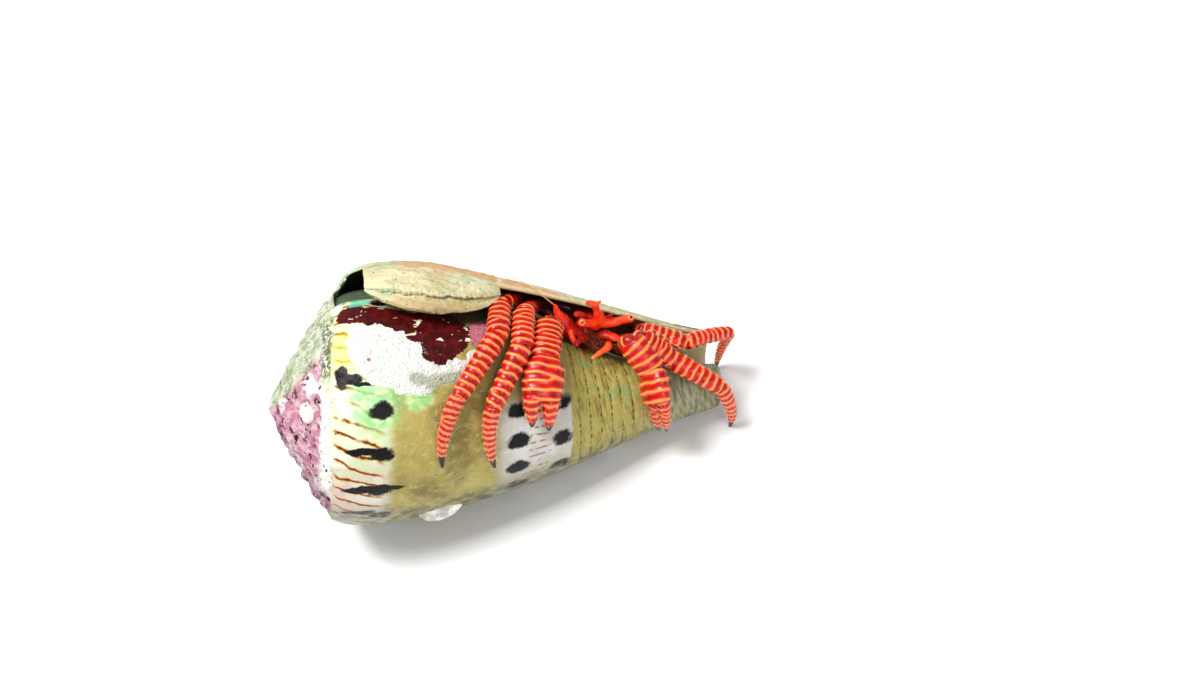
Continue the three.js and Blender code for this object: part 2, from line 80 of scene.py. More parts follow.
# %% The spiral law
PITCH = math.radians(15.5)  # how far the axis dips toward the narrow end
APEX = Vector((-34.0, 0.0, 24.2966))  # mm
LIP_ANGLE = -14.0
SHOULDER_ALONG, SHOULDER_RADIUS = 12.6, 19.55
SIDE = [  # (along, radius) of the outline
    (SHOULDER_ALONG, SHOULDER_RADIUS), (15, 20.6), (20, 21), (26, 20.3), (32, 18.6), (38, 16.95),
    (44, 15.1), (50, 13), (56, 10.85), (62, 8.75), (68.4, 7),
]
NARROW_END = SIDE[-1][0]
GROWTH = 1.232  # how many times wider each turn is than the one before
FRONT_GROWTH, FRONT_FROM, FRONT_LENGTH, FRONT_CURVE = 0.356, 30, 40, 1.5  # it grows more in front
CORE_THINNING, CORE_FROM, CORE_TO, CORE_TURN = 0.62, 36, 60, 0.76  # the core inside is thinner
SHOULDER_FADE = 40  # from this place on, an older turn is not set back toward the apex
LEAN_SIZE, LEAN_ANGLE = 1.8, -44.0  # the shoulder leans toward the apex, least at this angle
ROOF_CURVE = 1.25
WALL = 0.9
HALVINGS, SPARE_LENGTH = 24, 4  # how a place on the side is searched for
ALONG_AXIS = Vector((math.cos(PITCH), 0, -math.sin(PITCH)))
UP_AXIS = Vector((math.sin(PITCH), 0, math.cos(PITCH)))
FRONT_AXIS = Vector((0, -1, 0))


def clamp(x, low=0.0, high=1.0):
    return max(low, min(high, x))


def smooth(x, low, high):
    t = clamp((x - low) / (high - low))
    return t * t * (3 - 2 * t)


def lerp(a, b, t):
    return a + (b - a) * t


def curve_through(points, at):
    """A smooth curve through a list of (place, size)."""
    last = len(points) - 1

    def slope(i):
        return (points[i + 1][1] - points[i][1]) / (points[i + 1][0] - points[i][0])

    def tangent(i):
        if i == 0:
            return slope(0)
        return slope(last - 1) if i == last else (slope(i - 1) + slope(i)) / 2

    i = 0
    while i < last - 1 and at > points[i + 1][0]:
        i += 1
    span = points[i + 1][0] - points[i][0]
    s = (at - points[i][0]) / span
    rise = s * s * (3 - 2 * s)
    bulge = s * (1 - s) ** 2 * tangent(i) - s * s * (1 - s) * tangent(i + 1)
    return points[i][1] * (1 - rise) + points[i + 1][1] * rise + span * bulge


def angle_of(turn):
    return LIP_ANGLE - 360 * turn


def lean_at(turn):
    return -LEAN_SIZE * (1 - math.cos(math.radians(angle_of(turn) - LEAN_ANGLE)))


def side_of(turn, place):
    """(along, radius) of the shell's outside, for a place on the lip's outline."""
    shrink = GROWTH ** -turn
    near = 1 - smooth(place, SHOULDER_ALONG, SHOULDER_FADE)
    thinning = CORE_THINNING * smooth(place, CORE_FROM, CORE_TO) * smooth(turn, CORE_TURN, 1)
    growth = GROWTH + FRONT_GROWTH * max(0, (place - FRONT_FROM) / FRONT_LENGTH) ** FRONT_CURVE
    along = place * (1 - (1 - shrink) * near) + lean_at(turn) * near * shrink
    return along, curve_through(SIDE, place) * growth ** -turn * (1 - thinning)


def roof_of(turn, share):
    """(along, radius) on the spire's roof, from the apex at share 0 to the shoulder at share 1."""
    shrink = GROWTH ** -turn
    return share ** ROOF_CURVE * (SHOULDER_ALONG + lean_at(turn)) * shrink, share * SHOULDER_RADIUS * shrink


def radius_at(turn, along):
    """The side's radius where it crosses a plane square to the axis."""
    low, high = SHOULDER_ALONG, NARROW_END + SPARE_LENGTH
    for _ in range(HALVINGS):
        middle = (low + high) / 2
        if side_of(turn, middle)[0] < along:
            low = middle
        else:
            high = middle
    return side_of(turn, min(low, NARROW_END))[1]


def at(along, angle, radius):
    """A point in metres in the model's frame."""
    a = math.radians(angle)
    radial = UP_AXIS * math.cos(a) + FRONT_AXIS * math.sin(a)
    return (APEX + ALONG_AXIS * along + radial * radius) * MM


def outward(point):
    """The direction away from the shell's axis at a point."""
    arm = point - APEX * MM
    return (arm - ALONG_AXIS * arm.dot(ALONG_AXIS)).normalized()


print("shoulder of the last turn at", [round(c, 4) for c in at(SHOULDER_ALONG, 90, SHOULDER_RADIUS)])

# %% [markdown]
# ## One way to sweep a shape
# Almost every piece here is a ring or a strip that is pushed along a path while it changes size: a
# turn of shell, a leg, a feeler, the soft tail. In the editor that is Extrude, then move and scale,
# again and again. The helper below does just that with bmesh: it extrudes the open edge and sets each
# new corner where a small law says. Corners remember their number, so the law knows which is which.

# %% The sweeping helper
CORNER = "corner"


def new_bmesh(marks=()):
    """An empty bmesh with a corner number and the named marks on its vertices."""
    bm = bmesh.new()
    bm.verts.layers.int.new(CORNER)
    for mark in marks:
        bm.verts.layers.float.new(mark)
    return bm


def set_row(bm, verts, place, row):
    """Moves a row of corners to where the law puts them, and writes its marks."""
    corner = bm.verts.layers.int[CORNER]
    for v in verts:
        found = place(row, v[corner])
        v.co = found[0] if isinstance(found, tuple) else found
        if isinstance(found, tuple):
            for mark, value in found[1].items():
                v[bm.verts.layers.float[mark]] = value


def extrude_rows(bm, edges, place, rows):
    """Extrudes an open edge from row to row, and returns the last row's edges."""
    for row in rows:
        grown = bmesh.ops.extrude_edge_only(bm, edges=edges)["geom"]
        edges = [g for g in grown if isinstance(g, bmesh.types.BMEdge)]
        set_row(bm, {v for e in edges for v in e.verts}, place, row)
    return edges


def sweep_ring(bm, place, rows, sides):
    """A closed body: a ring of corners swept through rows and capped at both ends."""
    corner = bm.verts.layers.int[CORNER]
    ring = bmesh.ops.create_circle(bm, segments=sides, radius=MM, cap_ends=False)["verts"]
    for i, v in enumerate(ring):
        v[corner] = i
    first = list({e for v in ring for e in v.link_edges})
    set_row(bm, ring, place, rows[0])
    last = extrude_rows(bm, first, place, rows[1:])
    caps = bmesh.ops.holes_fill(bm, edges=first + last, sides=sides)["faces"]
    bmesh.ops.triangulate(bm, faces=caps)
    return first, last


def mesh_from(name, bm):
    """A mesh of a finished bmesh."""
    mesh = bpy.data.meshes.new(name)
    bm.to_mesh(mesh)
    bm.free()
    return mesh


def linked(name, data):
    """An object in the scene that shows a mesh, a lamp or a lens."""
    made = bpy.data.objects.new(name, data)
    bpy.context.scene.collection.objects.link(made)
    return made


def place_mesh(name, mesh, replaced=(), sharp_angle=None):
    """Makes a mesh a piece that rides with the model and stands for some of its solids."""
    mesh.polygons.foreach_set("use_smooth", [True] * len(mesh.polygons))
    if sharp_angle:
        mesh.set_sharp_from_angle(angle=math.radians(sharp_angle))
    piece = linked(name, mesh)
    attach(piece, "root")
    if replaced:
        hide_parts(*replaced)
    print(name, len(mesh.polygons), "faces")
    return piece


def new_piece(name, bm, replaced=(), sharp_angle=None):
    """The same for a bmesh, once its faces point outwards."""
    bmesh.ops.recalc_face_normals(bm, faces=bm.faces)
    return place_mesh(name, mesh_from(name, bm), replaced, sharp_angle)

# %% [markdown]
# ## The worn shell
# The real shell is a smooth cone that has been in the sea for years. Low ridges wind round its front
# half, crusts of red and white growth lie on it like old paint, the top is eaten away and pitted, and
# small holes show where worms bored in. A smooth shell with a picture on it would show a clean edge
# against the light, so the relief is made in the mesh. First come the places of the growths.

# %% Growths and wear on the shell
# Each growth is a few soft ovals: (along, angle, half length along, half height in degrees).
WHITE_CRUST = [
    (15.0, 17, 3.4, 13), (18, 29, 4.4, 12), (20.5, 37, 3.4, 6.5), (26, 33, 4.0, 6.0), (23.5, 30, 3.2, 8),
    (30, 27, 1.5, 5), (19.5, 17, 3.6, 9), (22.5, 24, 2.4, 7),
]
RED_CRUST = [
    (12.7, -3, 2.3, 7.5), (16.2, 0, 3.2, 6.5), (19.5, 3.5, 3.0, 7.5), (23.2, 8, 3.4, 10.5),
    (26, 12, 3.4, 13.5), (24.8, 21, 2.7, 8),
]
PURPLE_CRUST = [(31.2, 11, 2.6, 10)]
PITS = [
    (4.6, 75, 0.9, 7), (7.2, 108, 0.8, 4), (3.4, 120, 0.7, 10), (15.2, 22, 0.45, 1.1), (15.2, 31.5, 0.4, 1),
    (5.4, 20, 0.9, 6), (24.6, 30.5, 0.3, 1.4), (8.8, -120, 0.7, 3), (34, -100, 0.5, 2), (47, 160, 0.5, 3),
]
GROOVE_FROM, GROOVE_TO, GROOVE_STEP, GROOVE_SLOPE = 43.9, 60.0, 1.72, 0.012
GROOVE_DEPTH, CRUST_THICK, PIT_DEPTH, SUTURE_STEP = 0.16, 0.22, 0.5, 0.42  # mm
SKIN_INSET = 0.16  # the bare shell lies this far inside the solid, to leave room for growths


def oval(along, angle, spots, soft=0.18):
    """How much a place lies in any of the soft ovals, from 0 to 1."""
    nearest = min(math.hypot((along - a) / ra, (angle - g) / rg) for a, g, ra, rg in spots)
    return 1 - smooth(nearest, 1 - soft, 1 + soft)


def rough(point, size, depth=2):
    """Soft noise from about -1 to 1, with lumps of a size in mm."""
    return noise.fractal(point / (size * MM), 0.9, 2.0, depth, noise_basis="PERLIN_ORIGINAL")


def relief(along, angle, turn, point, roof_radius=None):
    """How far the surface stands out from the smooth law, in mm."""
    wobble = rough(point, 2.2)
    lift = 0.05 * rough(point, 5) - SKIN_INSET
    a, g = along + 0.35 * wobble, angle + 1.6 * wobble
    lift += CRUST_THICK * oval(a, g, WHITE_CRUST) * (0.75 + 0.25 * rough(point, 0.8))
    lift += 0.5 * CRUST_THICK * oval(a, g, RED_CRUST + PURPLE_CRUST)
    lift -= PIT_DEPTH * oval(along, angle, PITS, 0.35)
    if roof_radius is not None:
        coil = math.log(SHOULDER_RADIUS / max(roof_radius, 0.8)) / math.log(GROWTH) - turn
        below = coil % 1
        step = max(smooth(below, 0.55, 1), 1 - smooth(below, 0, 0.1))
        lift -= SUTURE_STEP * step * smooth(roof_radius, 1, 6)
        lift += 0.55 * min(0.55, rough(point, 2.4, 3)) + 0.22 * min(0.4, rough(point, 0.9)) - 0.2
    else:
        grooved = smooth(along, GROOVE_FROM - 0.5, GROOVE_FROM + 1)
        grooved *= 1 - smooth(along, GROOVE_TO - 8, GROOVE_TO)
        step = (along - GROOVE_FROM - GROOVE_SLOPE * angle + 0.12 * wobble) / GROOVE_STEP
        lift -= GROOVE_DEPTH * grooved * (1 - smooth(abs(step - round(step)), 0.02, 0.16))
        edge = 1 - smooth(along - (SHOULDER_ALONG + lean_at(turn)) * GROWTH ** -turn, 0.2, 5)
        lift += edge * (0.22 * rough(point, 1.5, 3) - 0.12)
    return lift


print("growths:", len(WHITE_CRUST) + len(RED_CRUST) + len(PURPLE_CRUST), "pits:", len(PITS))

# %% [markdown]
# The shell itself starts as one row of corners down the lip, from the apex over the shoulder to the
# narrow end. The row is extruded back round the axis for one whole turn, and the law with its relief
# sets every corner. Filling the hole between the last row and the first closes the step at the lip.
# What would go through the floor is pressed flat, because the shell has worn a small flat there.

# %% Sweep one turn of shell
TURN_ROWS = 300
INNER_ROOF_ROWS, OUTER_ROOF_ROWS, SIDE_ROWS = 26, 14, 150
ROOF_ROWS = INNER_ROOF_ROWS + OUTER_ROOF_ROWS
INNER_ROOF_RADIUS = 13.5  # inside this, the first and last rows lie on each other
SIDE_PLACES = [SHOULDER_ALONG + (NARROW_END - SHOULDER_ALONG) * i / SIDE_ROWS for i in range(SIDE_ROWS + 1)]
TIP_SHARES = [0.93, 0.8, 0.6, 0.35, 0.0]
TIP_BULGE = 0.3
APEX_INSET = 0.08
HIGHEST_LIFT = 0.02  # no growth on the side may stand further than this past the solid
WELD = 1e-6  # metres


def signed(angle):
    return round((angle + 180) % 360 - 180, 6)


def roof_place(turn, k):
    """Corner k of the spire's roof: rings of one size inside, and rings that grow outside."""
    shrink = GROWTH ** -turn
    angle = signed(angle_of(turn))
    outer = max(0, k - INNER_ROOF_ROWS) / OUTER_ROOF_ROWS
    radius = INNER_ROOF_RADIUS * min(k, INNER_ROOF_ROWS) / INNER_ROOF_ROWS
    radius += outer * (SHOULDER_RADIUS * shrink - INNER_ROOF_RADIUS)
    step = shrink ** (-(ROOF_CURVE - 1) * smooth(outer, 0, 1))
    along = (radius / SHOULDER_RADIUS) ** ROOF_CURVE * (SHOULDER_ALONG + lean_at(turn)) * step
    lift = relief(along, angle, turn, at(along, angle, radius), radius)
    inset = SKIN_INSET * smooth(radius, INNER_ROOF_RADIUS, SHOULDER_RADIUS * shrink)
    return at(along + APEX_INSET - (lift + APEX_INSET) * smooth(radius, 0, 2), angle, radius - inset)


def shell_place(row, k):
    """Where corner k of the outline lies at a row of the turn."""
    turn = row / TURN_ROWS
    angle = signed(angle_of(turn))
    if k < ROOF_ROWS:
        return roof_place(turn, k)
    k -= ROOF_ROWS
    if k <= SIDE_ROWS:
        along, radius = side_of(turn, SIDE_PLACES[k])
        lift = relief(along, angle, turn, at(along, angle, radius))
        return at(along, angle, radius + min(lift, HIGHEST_LIFT))
    along, radius = side_of(turn, NARROW_END)
    share = TIP_SHARES[k - SIDE_ROWS - 1]
    return at(along + TIP_BULGE * (1 - share), angle, (radius - SKIN_INSET) * share)


bm = new_bmesh()
corner = bm.verts.layers.int[CORNER]
corners = ROOF_ROWS + SIDE_ROWS + 1 + len(TIP_SHARES)
row = [bm.verts.new() for _ in range(corners)]
for i, v in enumerate(row):
    v[corner] = i
first = [bm.edges.new(pair) for pair in zip(row, row[1:])]
set_row(bm, row, shell_place, 0)
extrude_rows(bm, first, shell_place, range(1, TURN_ROWS + 1))
bmesh.ops.remove_doubles(bm, verts=bm.verts, dist=WELD)
open_edges = [e for e in bm.edges if e.is_boundary]
step_face = bmesh.ops.holes_fill(bm, edges=open_edges, sides=0)["faces"]
bmesh.ops.triangulate(bm, faces=step_face)
for v in bm.verts:
    v.co.z = max(v.co.z, 0)
bmesh.ops.recalc_face_normals(bm, faces=bm.faces)
print("closed shell:", all(e.is_manifold for e in bm.edges), len(bm.faces), "faces")
shell_swept = linked("shell_swept", mesh_from("shell_swept", bm))

# %% [markdown]
# The hollow that the crab lives in winds back between one turn and the next. It is swept the same way
# as a closed body, from outside the lip inward, and then taken away from the shell with a Boolean.
# Its rim also trims the lip: back at the notch under the shoulder, and back under the layered plate.
# A little noise on the rim gives the chipped edge of an old shell.

# %% Cut the hollow and the lip
NOTCH_FROM, NOTCH_TO, NOTCH_TURN = 9.5, 15.3, 0.05
PLATE_FROM, PLATE_TO, PLATE_TURN = 15, 34.2, 0.05
ROUNDED_FROM, ROUNDED_TURN = 65, 0.12  # the lip's corner at the narrow end
RIM_THICK, RIM_TAPER = 0.34, 0.04  # the lip's edge in mm, and how many turns it takes to thicken
HOLLOW_INNER_FROM, HOLLOW_END_TURN = 13.4, 0.78
FINE_STEP, COARSE_STEP, FINE_ROWS = 0.004, 0.012, 50  # rows in turns, closer together at the lip
OVERHANG, DEEP_CUT = 3, 9  # the hollow runs out of the narrow end, and ends short of it deep inside
ROOF_SHARE, ROOF_PAST, SIDE_PAST = 0.95, 1.2, 2  # how far the cut reaches past the lip it trims


def lip_edge(along):
    """How far the lip is set back, in turns."""
    in_notch = smooth(along, NOTCH_FROM - 1, NOTCH_FROM) * (1 - smooth(along, NOTCH_TO - 0.8, NOTCH_TO + 0.4))
    under = smooth(along, PLATE_FROM - 0.8, PLATE_FROM) * (1 - smooth(along, PLATE_TO - 2.4, PLATE_TO - 0.8))
    rounded = ROUNDED_TURN * smooth(along, ROUNDED_FROM, NARROW_END)
    wavy = 0.002 * math.sin(along * 0.7) + 0.001 * math.sin(along * 1.9)
    return max(NOTCH_TURN * in_notch, PLATE_TURN * under, rounded) - 0.012 + wavy * smooth(along, 34, 38)


HOLLOW_TURNS = [-0.05, -0.03] + [-0.014 + FINE_STEP * i for i in range(FINE_ROWS)]
while HOLLOW_TURNS[-1] < HOLLOW_END_TURN:
    HOLLOW_TURNS.append(HOLLOW_TURNS[-1] + COARSE_STEP)
HOLLOW_PLACES = [NARROW_END + OVERHANG] + [
    NARROW_END - (NARROW_END - HOLLOW_INNER_FROM) * (i / 90) for i in range(91)
]


def hollow_place(row, k):
    """Where corner k lies: on the older turn up to the shoulder, then back under the newer turn."""
    turn = HOLLOW_TURNS[row]
    count = len(HOLLOW_PLACES)
    limit = NARROW_END + OVERHANG - DEEP_CUT * smooth(turn, 0.25, 0.5)
    if k == count:
        trimmed = turn < lip_edge(SHOULDER_ALONG) or turn < 0
        along, radius = roof_of(turn, ROOF_SHARE)
        return at(along + (-ROOF_PAST if trimmed else WALL), angle_of(turn), radius)
    inner = k < count
    place = HOLLOW_PLACES[k] if inner else HOLLOW_PLACES[2 * count - k]
    reach = min(place, limit + 0.03 * (place - limit))
    along, radius = side_of(turn + 1 if inner else turn, min(reach, NARROW_END))
    if inner:
        radius += 0.3 if turn < 0 else 0.02 - SKIN_INSET
    else:
        chips = 0.0016 * rough(at(along, LIP_ANGLE, radius), 1.6, 3)
        trimmed = turn < lip_edge(along) + chips or turn < 0
        thick = lerp(RIM_THICK, WALL, smooth(turn - lip_edge(along), 0, RIM_TAPER))
        radius += SIDE_PAST if trimmed else -thick
    return at(along + max(0, reach - NARROW_END), angle_of(turn), radius)


bm = new_bmesh()
sweep_ring(bm, hollow_place, range(len(HOLLOW_TURNS)), 2 * len(HOLLOW_PLACES) + 1)
bmesh.ops.recalc_face_normals(bm, faces=bm.faces)
hollow = linked("hollow", mesh_from("hollow", bm))
print("hollow:", len(hollow.data.polygons), "faces")

# %% Take the hollow away from the shell
def take_away(body, cutter):
    """Cuts one closed body from another, and returns the cut mesh."""
    cut = body.modifiers.new("cut", "BOOLEAN")
    cut.operation = "DIFFERENCE"
    cut.solver = "EXACT"
    cut.material_mode = "TRANSFER"
    cut.object = cutter
    result = bpy.data.meshes.new_from_object(body.evaluated_get(bpy.context.evaluated_depsgraph_get()))
    for spent in (body, cutter):
        bpy.data.objects.remove(spent)
    return result


outside_look = bpy.data.materials.new("shell_outside")
inside_look = bpy.data.materials.new("shell_inside")
shell_swept.data.materials.append(outside_look)
hollow.data.materials.append(inside_look)
cut_shell = take_away(shell_swept, hollow)
print("cut shell:", len(cut_shell.vertices), "corners,", [m.name for m in cut_shell.materials])
place_mesh("worn_shell", cut_shell, ["shell"], 48)

# %% [markdown]
# The rim of the lip is fresh shell and the hollow behind it is stained. So every inside corner keeps
# three numbers for the colours: how far it lies behind the lip, in degrees, whether it lies on the
# thin cut rim itself, and whether it lies on the hollow's floor.

# %% Mark the rim and the depth of the hollow
HOLLOW_MARKS = ("rim", "deep", "floor")
NEAR_LIP, BEFORE_LIP = 0.2, 0.04  # in turns: corners further in than this are simply deep
DEEPEST = 90
for name in HOLLOW_MARKS:
    cut_shell.attributes.new(name, "FLOAT", "POINT")
rim_mark, deep_mark, floor_mark = (cut_shell.attributes[name].data for name in HOLLOW_MARKS)
inside_corners = {v for face in cut_shell.polygons if face.material_index == 1 for v in face.vertices}
for i in inside_corners:
    arm = cut_shell.vertices[i].co / MM - APEX
    along, high, front = arm.dot(ALONG_AXIS), arm.dot(UP_AXIS), arm.dot(FRONT_AXIS)
    turn = (LIP_ANGLE - math.degrees(math.atan2(front, high))) / 360 % 1
    deep_mark[i].value = DEEPEST
    if turn < NEAR_LIP or turn > 1 - BEFORE_LIP:
        turn = turn if turn < 0.5 else turn - 1
        radius, outer = math.hypot(high, front), radius_at(max(turn, 0), along)
        rim_mark[i].value = 1 - smooth(outer - radius, RIM_THICK - 0.02, RIM_THICK + 0.1)
        deep_mark[i].value = (turn - lip_edge(along)) * 360
        floor_mark[i].value = 1 if radius < (outer + radius_at(turn + 1, along)) / 2 else 0
print("marked the hollow:", len(inside_corners), "corners")

# %% [markdown]
# ## The layered plate on the lip
# A flat shellfish has grown over the lip and hangs over the mouth like a peaked cap, in two thin
# layers with wavy edges. Each layer starts as a grid. The law of the shell bends the grid over the
# lip, a little noise makes growth steps, and Solidify gives it its thickness. Two separate layers
# leave the dark line between them that a single bumped slab could only pretend to have.

# %% Build the two layers
PLATE_REACH, PLATE_EDGE_ANGLE = 16, -10
PLATE_COLUMNS, PLATE_STEPS = 150, 80
PLATE_SINK, PLATE_THICK = 0.62, 0.45
PLATE_WAVES = [(0.7, 1.6, 0), (0.5, 3.7, 1), (0.4, 8.1, 0), (0.3, 15.3, 0)]  # (degrees, per mm, shift)
LOWER_WAVE, UPPER_WAVE = 0.16, 0.6
GROWTH_STEP = 0.08
RELIEF_RADIUS = 20  # the noise for a thin layer is read at this distance from the axis


def plate_front(along, part):
    """The angle of a layer's front margin. part is 1 for the lower layer and less for the upper."""
    middle, half = (PLATE_FROM + PLATE_TO) / 2, (PLATE_TO - PLATE_FROM) / 2
    away = min(1, abs(along - middle) / half)
    wave = sum(size * math.sin(along * quick + shift) for size, quick, shift in PLATE_WAVES)
    wave *= UPPER_WAVE if part < 1 else LOWER_WAVE
    return PLATE_EDGE_ANGLE + PLATE_REACH * (1 - away ** 2) ** 0.8 * part + (wave - 0.4) * (1 - away ** 4)


def plate_layer(bm, part, lift, back_turn):
    """Bends a grid into one layer: part is its reach, lift its height over the lip in mm."""
    grid = bmesh.ops.create_grid(bm, x_segments=PLATE_COLUMNS, y_segments=PLATE_STEPS, size=1)["verts"]
    for v in grid:
        u, w = (v.co.x + 1) / 2, (v.co.y + 1) / 2
        along = lerp(PLATE_FROM + 0.2, PLATE_TO + 0.2, u)
        angle = lerp(angle_of(back_turn), plate_front(along, part), w)
        rim = 1 - (2 * u - 1) ** 6
        steps = GROWTH_STEP * math.sin(30 * w ** 1.5 + 1.6 * math.sin(7 * u)) * w
        point = at(along, angle, RELIEF_RADIUS)
        radius = radius_at(0, along) - PLATE_SINK - 0.2 * w - 0.5 * w ** 4
        radius += (lift * smooth(w, 0, 0.4) + steps + 0.12 * rough(point, 1.1, 3)) * (0.3 + 0.7 * rim)
        v.co = at(along, angle, radius)
    skin = list({f for v in grid for f in v.link_faces})
    bmesh.ops.recalc_face_normals(bm, faces=skin)
    bmesh.ops.solidify(bm, geom=skin, thickness=PLATE_THICK * MM)


bm = new_bmesh()
plate_layer(bm, 1.0, -0.75, 0.03)
plate_layer(bm, 0.54, 0.3, 0.052)
new_piece("lip_layers", bm, ["lip_plate"], 50)

# %% [markdown]
# Old crust comes away from a shell in flakes, and one still holds near the floor by its upper edge. It
# is made like a layer of the plate: a grid lies on the shell, its lower edge is lifted and its ends
# are drawn in to points, and Solidify makes it a thin wafer.

# %% Build the flake
FLAKE_ALONG, FLAKE_ANGLE, FLAKE_LIFT = (20.8, 27.2), (115, 127), 1.1
FLAKE_SINK, FLAKE_THICK, FLAKE_ABOVE_FLOOR = 0.12, 0.22, 0.2
bm = new_bmesh()
flake = bmesh.ops.create_grid(bm, x_segments=36, y_segments=20, size=1)["verts"]
for v in flake:
    u, w = (v.co.x + 1) / 2, (v.co.y + 1) / 2
    half = math.sin(math.pi * clamp(u, 0.02, 0.98)) ** 0.6
    along, angle = lerp(*FLAKE_ALONG, u), lerp(*FLAKE_ANGLE, 0.5 + (w - 0.5) * half)
    lift = FLAKE_LIFT * w ** 2 * half + 0.14 * rough(at(along, angle, RELIEF_RADIUS), 1.2, 4)
    turn = (LIP_ANGLE - angle) / 360 + 1
    v.co = at(along, angle, radius_at(turn, along) - FLAKE_SINK + lift)
    v.co.z = max(v.co.z, FLAKE_ABOVE_FLOOR * MM)
bmesh.ops.recalc_face_normals(bm, faces=bm.faces)
bmesh.ops.solidify(bm, geom=bm.faces[:], thickness=FLAKE_THICK * MM)
new_piece("shell_flake", bm, (), 50)

# %% [markdown]
# ## The limbs
# A crab's leg is a chain of hard tubes. From the body they are the merus, the carpus, the propodus
# and the dactyl, which ends in a black claw. Each tube of this crab carries raised orange rings, set
# close together like the coils of a spring, and some rings fork. The rings are made in the mesh: the
# radius follows a wave, and the wave is bent a little so that no ring is quite straight. A fork is
# where the wave gains one whole ring on one side. The wave's height is kept on the corners as
# "ring", so that the colour lies exactly on the ridge.

# %% Limb profiles and joints
# Each profile is the share of the full size at shares of the tube's length.
MERUS = [(0, 0.5), (0.12, 0.62), (0.6, 0.74), (0.9, 0.98), (1, 0.94)]
CARPUS = [(0, 0.88), (0.1, 0.98), (0.45, 1.04), (0.85, 1.02), (1, 0.9)]
PROPODUS = [(0, 0.95), (0.08, 1.04), (0.4, 1.02), (0.8, 0.93), (0.95, 0.85), (1, 0.8)]
DACTYL = [(0, 0.78), (0.07, 0.82), (0.35, 0.72), (0.65, 0.54), (0.85, 0.36), (1, 0.17)]
HAND = [(0, 0.62), (0.07, 0.76), (0.3, 0.97), (0.6, 1), (0.85, 0.93), (1, 0.8)]
CLAW_FINGER = [(0, 0.86), (0.15, 1.0), (0.5, 0.84), (0.8, 0.52), (1, 0.2)]
# Sizes are the width and height in mm.
LEG, FAR_LEG = (3.0, 2.5), (2.6, 2.2)
UPPER_ARM, ARM, PALM, FINGER = (2.9, 2.5), (4.3, 3.0), (6.2, 3.6), (2.7, 2.2)
TUBE_SHRINK = 0.97  # the skin between the rings lies inside the solid
JOINT_ROOM = 0.7
JOINT_LAP = 0.35  # the skins lap over each other at a joint, where the solids keep apart
RING_SPACE = 1.22  # mm from ring to ring
RING_HEIGHT, CLAW_RING_SHARE, RING_SINK = 0.12, 0.45, 0.07
CLAW_FROM, CLAW_TO = 0.8, 0.845  # where a tube turns into its black claw
BOX_GAP = 0.05  # mm that a skin keeps from the side of the solids' box
# Each leg: size, bend of its first tube, bow of its last, and its five joints as (along, angle, radius).
WALKING_LEGS = {
    "right_2": (LEG, (42, -36, 13.8), (0.6, -0.7),
        [(46.2, -28, 11.9), (37.7, -2, 15.3), (36.4, 23, 16.3), (31.4, 51.9, 17.2), (31.6, 87, 16.3)]),
    "right_3": (LEG, (41, -53, 15.2), (0.6, -0.9),
        [(45.5, -48, 12), (34.5, -9, 15.6), (33.1, 16.5, 16.7), (26.6, 45.8, 18.2), (23.9, 79.5, 17.8)]),
    "left_2": (LEG, (54.6, -8, 8), (0.6, 0.8),
        [(54.1, -22, 6.2), (55.2, 10, 11.2), (60, 26, 8), (67.1, 59.5, 8.1), (70.2, 134, 8.5)]),
    "left_3": (FAR_LEG, (55.8, -28, 8.4), (0.7, 0),
        [(55.6, -46, 8.2), (56.1, -6, 9.7), (62.4, 8.5, 8.5), (70.8, -22, 6.7), (71.1, -131, 8.9)]),
}
# Each claw: the joints of its arm, and the two ends of its fixed and of its moving finger.
CLAW_LEGS = {
    "right": {"joints": [(46.5, -12, 9.3), (41.3, 2, 13.8), (39.6, 29, 15.3)], "bend": (43.6, -6, 11),
        "roll": 0, "knuckle": (38.4, 51.3, 16.2), "fixed": [(37.1, 46.5, 16.3), (37.1, 66, 15.2)],
        "moving": [(39.9, 49.5, 15.8), (39.6, 70.2, 14.6)]},
    "left": {"joints": [(52.8, -8, 5.8), (53, 15, 12), (56.2, 38, 10.2)], "bend": (52.8, 6, 8.6),
        "roll": 68, "knuckle": (56.4, 64, 11.3), "fixed": [(56.3, 62, 9.9), (57.7, 104, 9.2)],
        "moving": [(57, 58, 12), (58.5, 95, 10.5)]},
}
LIMB_MARKS = ("ring", "reach", "side", "claw")
LIMB_SIDES = 30
END_ROWS, ROWS_PER_RING, FEWEST_ROWS = 5, 9, 14
MEMBRANE_SHARE, MEMBRANE_MARK = 0.36, -2.0
dactyl_corners = {}  # piece name -> first and last corner number of its dactyl
roots = {}  # where each limb's setae may grow: name -> list of (place, normal, ahead, tile, round, t, marks)

# %% One tube of a limb
def bezier(a, b, c, t):
    """A point and the direction of travel on the curve from a to c, drawn toward b."""
    point = a * (1 - t) ** 2 + b * 2 * t * (1 - t) + c * t ** 2
    return point, ((b - a) * (1 - t) + (c - b) * t).normalized()


